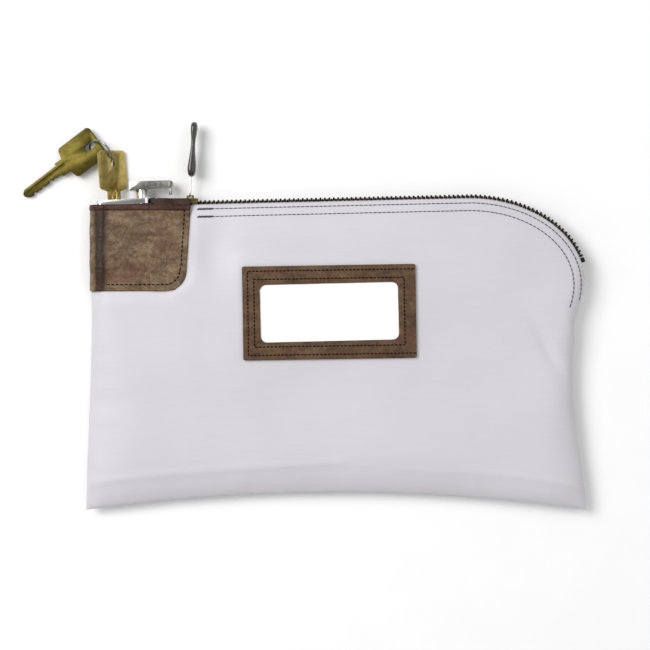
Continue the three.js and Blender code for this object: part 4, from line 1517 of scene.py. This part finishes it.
# ---- slider and pull -------------------------------------------------------------------------
@dataclass
class SliderAndPull:
    """The zip's slider with its tongue, and the wire link and tab that pull it."""

    eye: Vector
    lean: float = -0.06
    link_radius: float = 2.6
    wire: float = 0.36
    straight: float = 7.6
    tab_profile: tuple = (
        (1.2, 0.0), (1.9, 1.2), (2.45, 4.0), (2.2, 7.0), (1.85, 10.0), (1.4, 14.0), (1.15, 18.5), (1.3, 21.5), (1.7, 24.5), (1.95, 27.2), (1.75, 29.4), (1.0, 30.6)
    )
    tab_half_width: float = 4.4

    def build(self, shop: Workshop, looks: Finishes) -> None:
        """Makes the slider, link and tab.

        Args:
            shop: The workshop.
            looks: The finishes.
        """
        shop.rounded_copy("slider_body", "tongued_slider", looks.slider, "slider", "slider_metal", 0.22)
        shop.rounded_copy(
            "slider_lower_plate", "slider_under_plate", looks.slider, "slider", "slider_metal", 0.2
        )
        self.link(shop, looks)
        self.tab(shop, looks)

    def place(self, bm: bmesh.types.BMesh) -> None:
        """Moves a shape made round the eye to where the pull hangs.

        Args:
            bm: The mesh.
        """
        turn = Matrix.Translation(self.eye) @ Matrix.Rotation(self.lean, 4, "Z") @ Matrix.Translation((0, -0.1, 0))
        bmesh.ops.transform(bm, matrix=turn, verts=bm.verts)

    def link(self, shop: Workshop, looks: Finishes) -> None:
        """Bends the wire link: a long loop that stands in the YZ plane.

        Args:
            shop: The workshop.
            looks: The finishes.
        """
        bm = bmesh.new()
        seat = Matrix.Translation((0, self.link_radius, 0))
        ring = bmesh.ops.create_circle(bm, segments=10, radius=self.wire, matrix=seat)["verts"]
        geom = list(ring) + list({e for v in ring for e in v.link_edges})
        bmesh.ops.spin(
            bm, geom=geom, cent=(0, 0, 0), axis=(1, 0, 0), dvec=(0, 0, 0), angle=2 * math.pi, steps=40, use_merge=True, use_duplicate=False
        )
        for vertex in bm.verts:
            lift = self.straight if vertex.co.y > 0.05 * self.link_radius else 0.0
            vertex.co.y += lift + self.link_radius
        bmesh.ops.recalc_face_normals(bm, faces=bm.faces)
        self.place(bm)
        shop.piece(bm, "wire_pull_link", looks.wire, "pull", "chrome", ["pull_link"], 180.0)

    def half_thickness(self, y: float) -> float:
        """Gives the tab's half thickness at a height above its lower end.

        Args:
            y: Place up, in millimetres.

        Returns:
            The measure.
        """
        for (w0, y0), (w1, y1) in zip(self.tab_profile, self.tab_profile[1:]):
            if y <= y1:
                return mix(w0, w1, smooth_step(y, y0, y1) * 0.5 + 0.5 * (y - y0) / (y1 - y0))
        return self.tab_profile[-1][0]

    def tab(self, shop: Workshop, looks: Finishes) -> None:
        """Moulds the tab: a paddle with a waist and a bead at its top.

        Args:
            shop: The workshop.
            looks: The finishes.
        """
        low = self.link_radius + self.straight + 1.4
        tall = self.tab_profile[-1][1]
        bm = bmesh.new()
        bmesh.ops.create_cube(bm, size=1.0)
        bmesh.ops.subdivide_edges(bm, edges=list(bm.edges), cuts=1, use_grid_fill=True)
        long = [e for e in bm.edges if abs(e.verts[0].co.y - e.verts[1].co.y) > 0.1]
        bmesh.ops.subdivide_edges(bm, edges=long, cuts=11, use_grid_fill=True)
        for vertex in bm.verts:
            share = vertex.co.y + 0.5
            y = share * tall
            thick = self.half_thickness(y)
            ends = min(
                1.0, math.sqrt(max(0.0, 1 - (max(0.0, 3.4 - min(y, tall - y)) / 3.4) ** 2)) * 0.75 + 0.25
            )
            neck = 1.0 - 0.16 * math.exp(-((y - 18.5) / 5.0) ** 2)
            wide = self.tab_half_width * ends * neck
            vertex.co = Vector((vertex.co.x * 2 * thick, low + y, vertex.co.z * 2 * wide))
        bmesh.ops.recalc_face_normals(bm, faces=bm.faces)
        self.place(bm)
        obj = shop.piece(bm, "moulded_pull_tab", looks.plastic, "pull", "pull_plastic", ["pull_tab"], 180.0)
        smooth = obj.modifiers.new("smooth", "SUBSURF")
        smooth.levels = smooth.render_levels = 2


# ---- leather ---------------------------------------------------------------------------------
@dataclass
class LockPouch:
    """The leather pouch wrapped round the lock's corner, its hem and its stitches."""

    outline: PouchOutline
    drapers: dict
    radius: float = 8.4
    wall: float = 1.0
    hem: float = 3.3
    lip_rise: float = 3.6
    slider_room: float = 6.3

    def edge_height(self, x: float, y: float, face: Face) -> float:
        """Gives how far the leather stands from the seam where it lies on the fabric.

        Args:
            x: Place across, in millimetres.
            y: Place up, in millimetres.
            face: Which face.

        Returns:
            The measure.
        """
        place, _ = self.drapers[face].drop(x, y, face)
        return abs(place.z - SEAM_Z) + 0.75

    def creases(self, x: float, y: float, face: Face) -> float:
        """Gives the relief of the soft leather below the lock.

        Args:
            x: Place across.
            y: Place up.
            face: Which face.

        Returns:
            Height to add.
        """
        seed = 2.0 if face is Face.FRONT else 31.0
        along, across = (x * 0.8 - y * 0.6), (x * 0.6 + y * 0.8)
        soft = 1.0 - smooth_step(y, self.outline.bottom + 14.0, self.outline.top - 10.0)
        folds = noise.noise(Vector((along / 30.0, across / 4.2, seed))) * (0.15 + 0.75 * soft)
        fine = noise.noise(Vector((along / 9.0, across / 2.2, seed + 7))) * (0.08 + 0.22 * soft)
        hollow = math.exp(-(((y - (self.outline.top - 5.5)) / 2.0) ** 2)) * 0.35
        return folds + fine - hollow

    def point(self, a: float, b: float, lift: float = 0.0) -> Vector:
        """Gives a point of the wrap.

        Args:
            a: Share along the wrap, from the front's free edge round the side to the back's.
            b: Share up.
            lift: Distance outwards.

        Returns:
            The point.
        """
        line = self.outline
        y = mix(line.bottom, line.top, b)
        free = line.right_edge(y)
        turn_x = line.left + self.radius
        flat = free - turn_x
        arc = math.pi * self.radius
        walk = a * (2 * flat + arc)
        face = Face.FRONT if a < 0.5 else Face.BACK
        reach = min(walk, 2 * flat + arc - walk)
        if reach <= flat:
            x = free - reach
            over = smooth_step(min(reach, (y - line.bottom) * 1.3), 0.0, 17.0)
            full = self.radius + 0.05
            height = mix(min(full, self.edge_height(x, y, face)), full, over)
            calm = smooth_step(reach, 0.5, 5.0) * smooth_step(y - line.bottom, 0.0, 4.0)
            height = height + (self.creases(x, y, face) - 0.3) * calm * (1.0 if face is Face.FRONT else 0.5)
            beside = smooth_step(x, -104.0, -100.0) * smooth_step(b, 0.84, 0.92)
            height = mix(height, max(height, self.slider_room), beside)
            height = min(height + lift, 8.48 if face is Face.BACK else 8.76)
            raised = 0.0 if lift else self.lip_rise * smooth_step(x, -102.0, -99.4) * smooth_step(b, 0.93, 1.0)
            return Vector((x, y + raised, SEAM_Z + face.value * height))
        turn = (reach - flat) / arc * math.pi
        over = smooth_step((y - line.bottom) * 1.3, 0.0, 17.0)
        start = mix(min(self.radius, self.edge_height(turn_x, y, face)), self.radius, over) + 0.05
        tall = min(8.48 if face is Face.BACK else 8.76, max(-8.48, (start + lift) * math.cos(turn)))
        dent = 0.5 * noise.noise(Vector((turn * 2, y / 9.0, 4.0))) * math.sin(turn)
        return Vector((turn_x - (self.radius + lift + dent) * math.sin(turn), y, SEAM_Z + face.value * tall))

    def build(self, shop: Workshop, looks: Finishes) -> None:
        """Makes the pouch, its hem and its stitches.

        Args:
            shop: The workshop.
            looks: The finishes.
        """
        bm = surface_grid(180, 70, self.point)
        bmesh.ops.reverse_faces(bm, faces=bm.faces)
        draper = Draper(bm)
        obj = shop.piece(bm, "leather_lock_pouch", looks.pouch, "bag", "pouch_leather", ["lock_pouch"], 80.0)
        wall = obj.modifiers.new("wall", "SOLIDIFY")
        wall.thickness = self.wall * MM
        wall.offset = -1.0
        share = self.hem / self.outline.height
        hem = surface_grid(
            180, 5, lambda a, b: self.point(a, mix(1 - share, 1.0, b), 0.02 + 0.26 * (1 - (2 * b - 1) ** 4))
        )
        bmesh.ops.reverse_faces(hem, faces=hem.faces)
        strip = shop.piece(hem, "pouch_hem", looks.hem, "bag", "pouch_leather", smooth=80.0)
        turned = strip.modifiers.new("wall", "SOLIDIFY")
        turned.thickness = 0.3 * MM
        turned.offset = -1.0
        for face in Face:
            sew = lambda p, f=face: draper.drop(p.x, p.y, f)
            name = f"{face.name.lower()}_pouch_stitches"
            StitchRow(
                name, self.stitch_path(), 2.5, 2.05, 0.66
            ).build(shop, looks.thread, "pouch_leather", sew)

    def stitch_path(self) -> list[Vector]:
        """Gives the line of stitches three millimetres inside the free edges.

        Returns:
            The list of them.
        """
        line = self.outline
        inset = 3.2
        path = [
            Vector((line.right_edge(y) - inset, y)) for y in [
                line.top - 2 - i for i in range(int(line.height - line.corner) - 2)
            ]
        ]
        centre = Vector((line.right - line.flare - line.corner, line.bottom + line.corner))
        for i in range(13):
            turn = -math.pi / 2 * i / 12
            path.append(centre + Vector((math.cos(turn), math.sin(turn))) * (line.corner - inset - 0.4))
        path += [Vector((x, line.bottom + inset + 0.4)) for x in (centre.x - 3, line.left + self.radius + 1)]
        return path


@dataclass
class NameWindow:
    """The leather frame sewn on the face, with its card and clear film."""

    centre: tuple[float, float] = (-4.0, 22.2)
    turn: float = 0.016
    width: float = 96.0
    height: float = 52.0
    radius: float = 1.1
    open_width: float = 76.6
    open_height: float = 31.9
    open_radius: float = 3.5
    open_turn: float = 0.008
    thickness: float = 1.5
    base: float = 17.15

    def build(self, shop: Workshop, looks: Finishes) -> None:
        """Makes the window.

        Args:
            shop: The workshop.
            looks: The finishes.
        """
        self.border(shop, looks)
        self.pane(
            shop, "white_name_card", looks.card, "card", "name_card", self.base + 0.25, 0.25, 86.0, 42.0, 0.12
        )
        film = self.pane(
            shop, "clear_window_film", looks.vinyl, "clear_vinyl", "window_film", self.base + 0.7, 0.15, 86.0, 42.0, 0.25
        )
        film.visible_shadow = False
        for name, path in (
            ("outer_window_stitches", self.outer_path()), ("inner_window_stitches", self.inner_path())
        ):
            row = StitchRow(name, [self.spot(*p) for p in path], 2.15, 1.75, 0.72)
            row.build(shop, looks.thread, "frame_leather", self.leather_top)

    def leather_top(self, place: Vector) -> tuple[Vector, Vector]:
        """Gives the frame's upper face at a place, and its normal.

        Args:
            place: The place.

        Returns:
            The point and its normal.
        """
        return Vector((place.x, place.y, self.base + self.thickness)), Vector((0.0, 0.0, 1.0))

    def spot(self, x: float, y: float) -> Vector:
        """Moves a place in the window's own frame to the bag's.

        Args:
            x: Place across, in millimetres.
            y: Place up, in millimetres.

        Returns:
            The point.
        """
        c, s = math.cos(self.turn), math.sin(self.turn)
        return Vector((self.centre[0] + x * c - y * s, self.centre[1] + x * s + y * c))

    def settle(self, bm: bmesh.types.BMesh, z: float) -> None:
        """Turns a shape and puts it in place at a height.

        Args:
            bm: The mesh.
            z: Height, in millimetres.
        """
        turn = Matrix.Translation((*self.centre, z)) @ Matrix.Rotation(self.turn, 4, "Z")
        bmesh.ops.transform(bm, matrix=turn, verts=bm.verts)

    def border(self, shop: Workshop, looks: Finishes) -> None:
        """Cuts the leather border and rounds its edges.

        Args:
            shop: The workshop.
            looks: The finishes.
        """
        bm = bmesh.new()
        rounded_ring(bm, self.width, self.height, self.radius)
        outer = set(bm.verts)
        rounded_ring(bm, self.open_width, self.open_height, self.open_radius)
        inner = [v for v in bm.verts if v not in outer]
        bmesh.ops.rotate(bm, matrix=Matrix.Rotation(self.open_turn, 3, "Z"), verts=inner)
        bmesh.ops.bridge_loops(bm, edges=list(bm.edges))
        bmesh.ops.recalc_face_normals(bm, faces=bm.faces)
        grown = bmesh.ops.extrude_face_region(bm, geom=list(bm.faces))
        lifted = [v for v in grown["geom"] if isinstance(v, bmesh.types.BMVert)]
        bmesh.ops.translate(bm, vec=(0, 0, self.thickness), verts=lifted)
        bmesh.ops.recalc_face_normals(bm, faces=bm.faces)
        rims = [
            e for e in bm.edges if e.is_manifold and e.calc_face_angle() > 1.2 and abs(
                e.verts[0].co.z - e.verts[1].co.z
            ) < 0.01
        ]
        bmesh.ops.bevel(
            bm, geom=rims, offset=0.55, offset_type="OFFSET", affect="EDGES", segments=4, profile=0.5, material=-1
        )
        self.settle(bm, self.base)
        shop.piece(bm, "leather_window_frame", looks.frame, "bag", "frame_leather", ["window_frame"], 60.0)

    def pane(
        self, shop: Workshop, name: str, material: bpy.types.Material, slot: str, node: str, z: float, wall: float, width: float, height: float, bow: float
    ) -> bpy.types.Object:
        """Makes a thin sheet in the window that bows a little.

        Args:
            shop: The workshop.
            name: Name of the piece.
            material: Its finish.
            slot: The record's material slot.
            node: Name of the CAD node.
            z: Height, in millimetres.
            wall: Thickness.
            width: Width.
            height: Height.
            bow: How far it bows.

        Returns:
            The piece.
        """
        place = lambda a, b: Vector(
            ((a - 0.5) * width, (b - 0.5) * height, bow * math.sin(math.pi * a) * math.sin(math.pi * b))
        )
        bm = surface_grid(24, 12, place)
        self.settle(bm, z)
        obj = shop.piece(bm, name, material, "bag", slot, [node], 60.0)
        solid = obj.modifiers.new("wall", "SOLIDIFY")
        solid.thickness = wall * MM
        solid.offset = -1.0
        return obj

    def outer_path(self) -> list[tuple[float, float]]:
        """Gives the outer row: out along the top, down the left and out along the bottom.

        Returns:
            The list of them.
        """
        x, y = self.width / 2 - 2.9, self.height / 2 - 2.7
        corners = [(self.width / 2 - 0.5, y), (-x, y), (-x, -y), (self.width / 2 - 0.5, -y)]
        return corners

    def inner_path(self) -> list[tuple[float, float]]:
        """Gives the inner row, a closed rectangle.

        Returns:
            The list of them.
        """
        x, y = self.width / 2 - 6.4, self.height / 2 - 7.3
        return [(x, y), (-x, y), (-x, -y), (x, -y), (x, y)]


# ---- lock and keys ---------------------------------------------------------------------------
@dataclass
class LockHardware:
    """The lock's metal: case, cap, latch and what works inside."""

    def build(self, shop: Workshop, looks: Finishes) -> None:
        """Softens what shows and finishes the rest.

        Args:
            shop: The workshop.
            looks: The finishes.
        """
        shop.rounded_copy("lock_cap", "chrome_lock_cap", looks.chrome, "bag", "chrome", 0.5, 3)
        shop.rounded_copy("latch_arm", "chrome_latch_arm", looks.latch, "latch", "chrome", 0.45, 3)
        shop.rounded_copy("latch_post", "chrome_latch_post", looks.chrome, "latch", "chrome", 0.15)
        shop.rounded_copy("latch_rivet", "latch_arm_rivet", looks.steel, "latch", "chrome", 0.3, 3)
        shop.rounded_copy("latch_hook_pin", "latch_hook", looks.steel, "latch", "chrome", 0.25)
        shop.rounded_copy("lock_base_plate", "lock_foot_plate", looks.steel, "bag", "steel", 0.25)
        shop.rounded_copy("lock_bolt", "sliding_bolt", looks.steel, "bolt", "steel", 0.15)
        kept = {
            "lock_case": looks.zinc, "key_plug": looks.brass, "latch_spring": looks.steel,
            "base_screw_1": looks.steel, "base_screw_2": looks.steel,
        }
        for i in range(1, 8):
            kept[f"key_pin_{i}"] = looks.brass
            kept[f"driver_pin_{i}"] = looks.brass
            kept[f"pin_spring_{i}"] = looks.steel
        for node, material in kept.items():
            slots = shop.frame["nodes"][node].material_slots
            slots[0].link = "OBJECT"
            slots[0].material = material


@dataclass
class KeySet:
    """The two keys and the split ring through their bows."""

    lock: Vector
    tilt: float = 0.07
    slot_height: float = 22.2
    loose_step: tuple[float, float, float] = (-12.41, 8.29, -4.22)
    ring_radius: float = 7.81
    ring_lean: float = -39.9
    wire: float = 0.27

    def build(self, shop: Workshop, looks: Finishes) -> None:
        """Makes the keys and the ring.

        Args:
            shop: The workshop.
            looks: The finishes.
        """
        shop.rounded_copy("key_in_lock", "brass_key_in_lock", looks.brass, "key", "brass", 0.22)
        shop.rounded_copy("loose_key", "brass_loose_key", looks.old_brass, "loose_key", "brass", 0.22)
        self.ring(shop, looks)

    def ring(self, shop: Workshop, looks: Finishes) -> None:
        """Winds the ring: two turns of flattened wire, standing on the line between the slots.

        Args:
            shop: The workshop.
            looks: The finishes.
        """
        first = self.lock + Vector((-math.sin(self.tilt), math.cos(self.tilt), 0)) * self.slot_height
        loose = first + Vector(self.loose_step)
        chord = first - loose
        along = chord.normalized()
        up = (Vector((0, 0, 1)) - along * along.z).normalized()
        across = along.cross(up)
        lean = math.radians(self.ring_lean)
        rise = up * math.cos(lean) + across * math.sin(lean)
        height = math.sqrt(self.ring_radius**2 - chord.length_squared / 4)
        centre = loose + chord / 2 + rise * height
        normal = along.cross(rise)
        bm = bmesh.new()
        section = bmesh.ops.create_circle(
            bm, cap_ends=True, segments=10, radius=self.wire, matrix=Matrix.Translation(
                (self.ring_radius, 0, -self.wire)
            ) @ Matrix.Rotation(math.pi / 2, 4, "X")
        )["verts"]
        for vertex in section:
            vertex.co.x = self.ring_radius + (vertex.co.x - self.ring_radius) * 1.5
        geom = list(section) + list(
            {e for v in section for e in v.link_edges}
        ) + list({f for v in section for f in v.link_faces})
        bmesh.ops.spin(
            bm, geom=geom, cent=(0, 0, 0), axis=(0, 0, 1), dvec=(
                0, 0, 2 * self.wire / 96
            ), angle=4 * math.pi, steps=192, use_merge=False, use_duplicate=False
        )
        bmesh.ops.recalc_face_normals(bm, faces=bm.faces)
        turn = Matrix((along, rise, normal)).transposed().to_4x4()
        bmesh.ops.transform(bm, matrix=Matrix.Translation(centre) @ turn, verts=bm.verts)
        shop.piece(bm, "wound_split_ring", looks.latch, "ring", "steel", ["split_ring"], 60.0)


def main() -> None:
    """Builds the bag piece by piece on its frame."""
    logging.basicConfig(level=logging.INFO, format="%(message)s")
    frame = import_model()
    Studio().build()
    looks = Finishes()
    shop = Workshop(frame)
    mouth = MouthLine()
    outline = PouchOutline()
    body = FabricBody(BagShape(mouth), outline)
    body.build(shop, looks)
    MouthStitching(mouth).build(shop, looks, body.drapers)
    Zip(mouth).build(shop, looks)
    eye = next(j for j in frame["joints"] if j["name"] == "pull_swing")["pos_m"]
    SliderAndPull(Vector(eye) * 1000).build(shop, looks)
    LockPouch(outline, body.drapers).build(shop, looks)
    NameWindow().build(shop, looks)
    turn = next(j for j in frame["joints"] if j["name"] == "key_turn")
    LockHardware().build(shop, looks)
    KeySet(Vector(turn["pos_m"]) * 1000).build(shop, looks)
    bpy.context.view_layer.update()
    LOG.info("%d pieces made", shop.count)


if __name__ == "__main__":
    main()
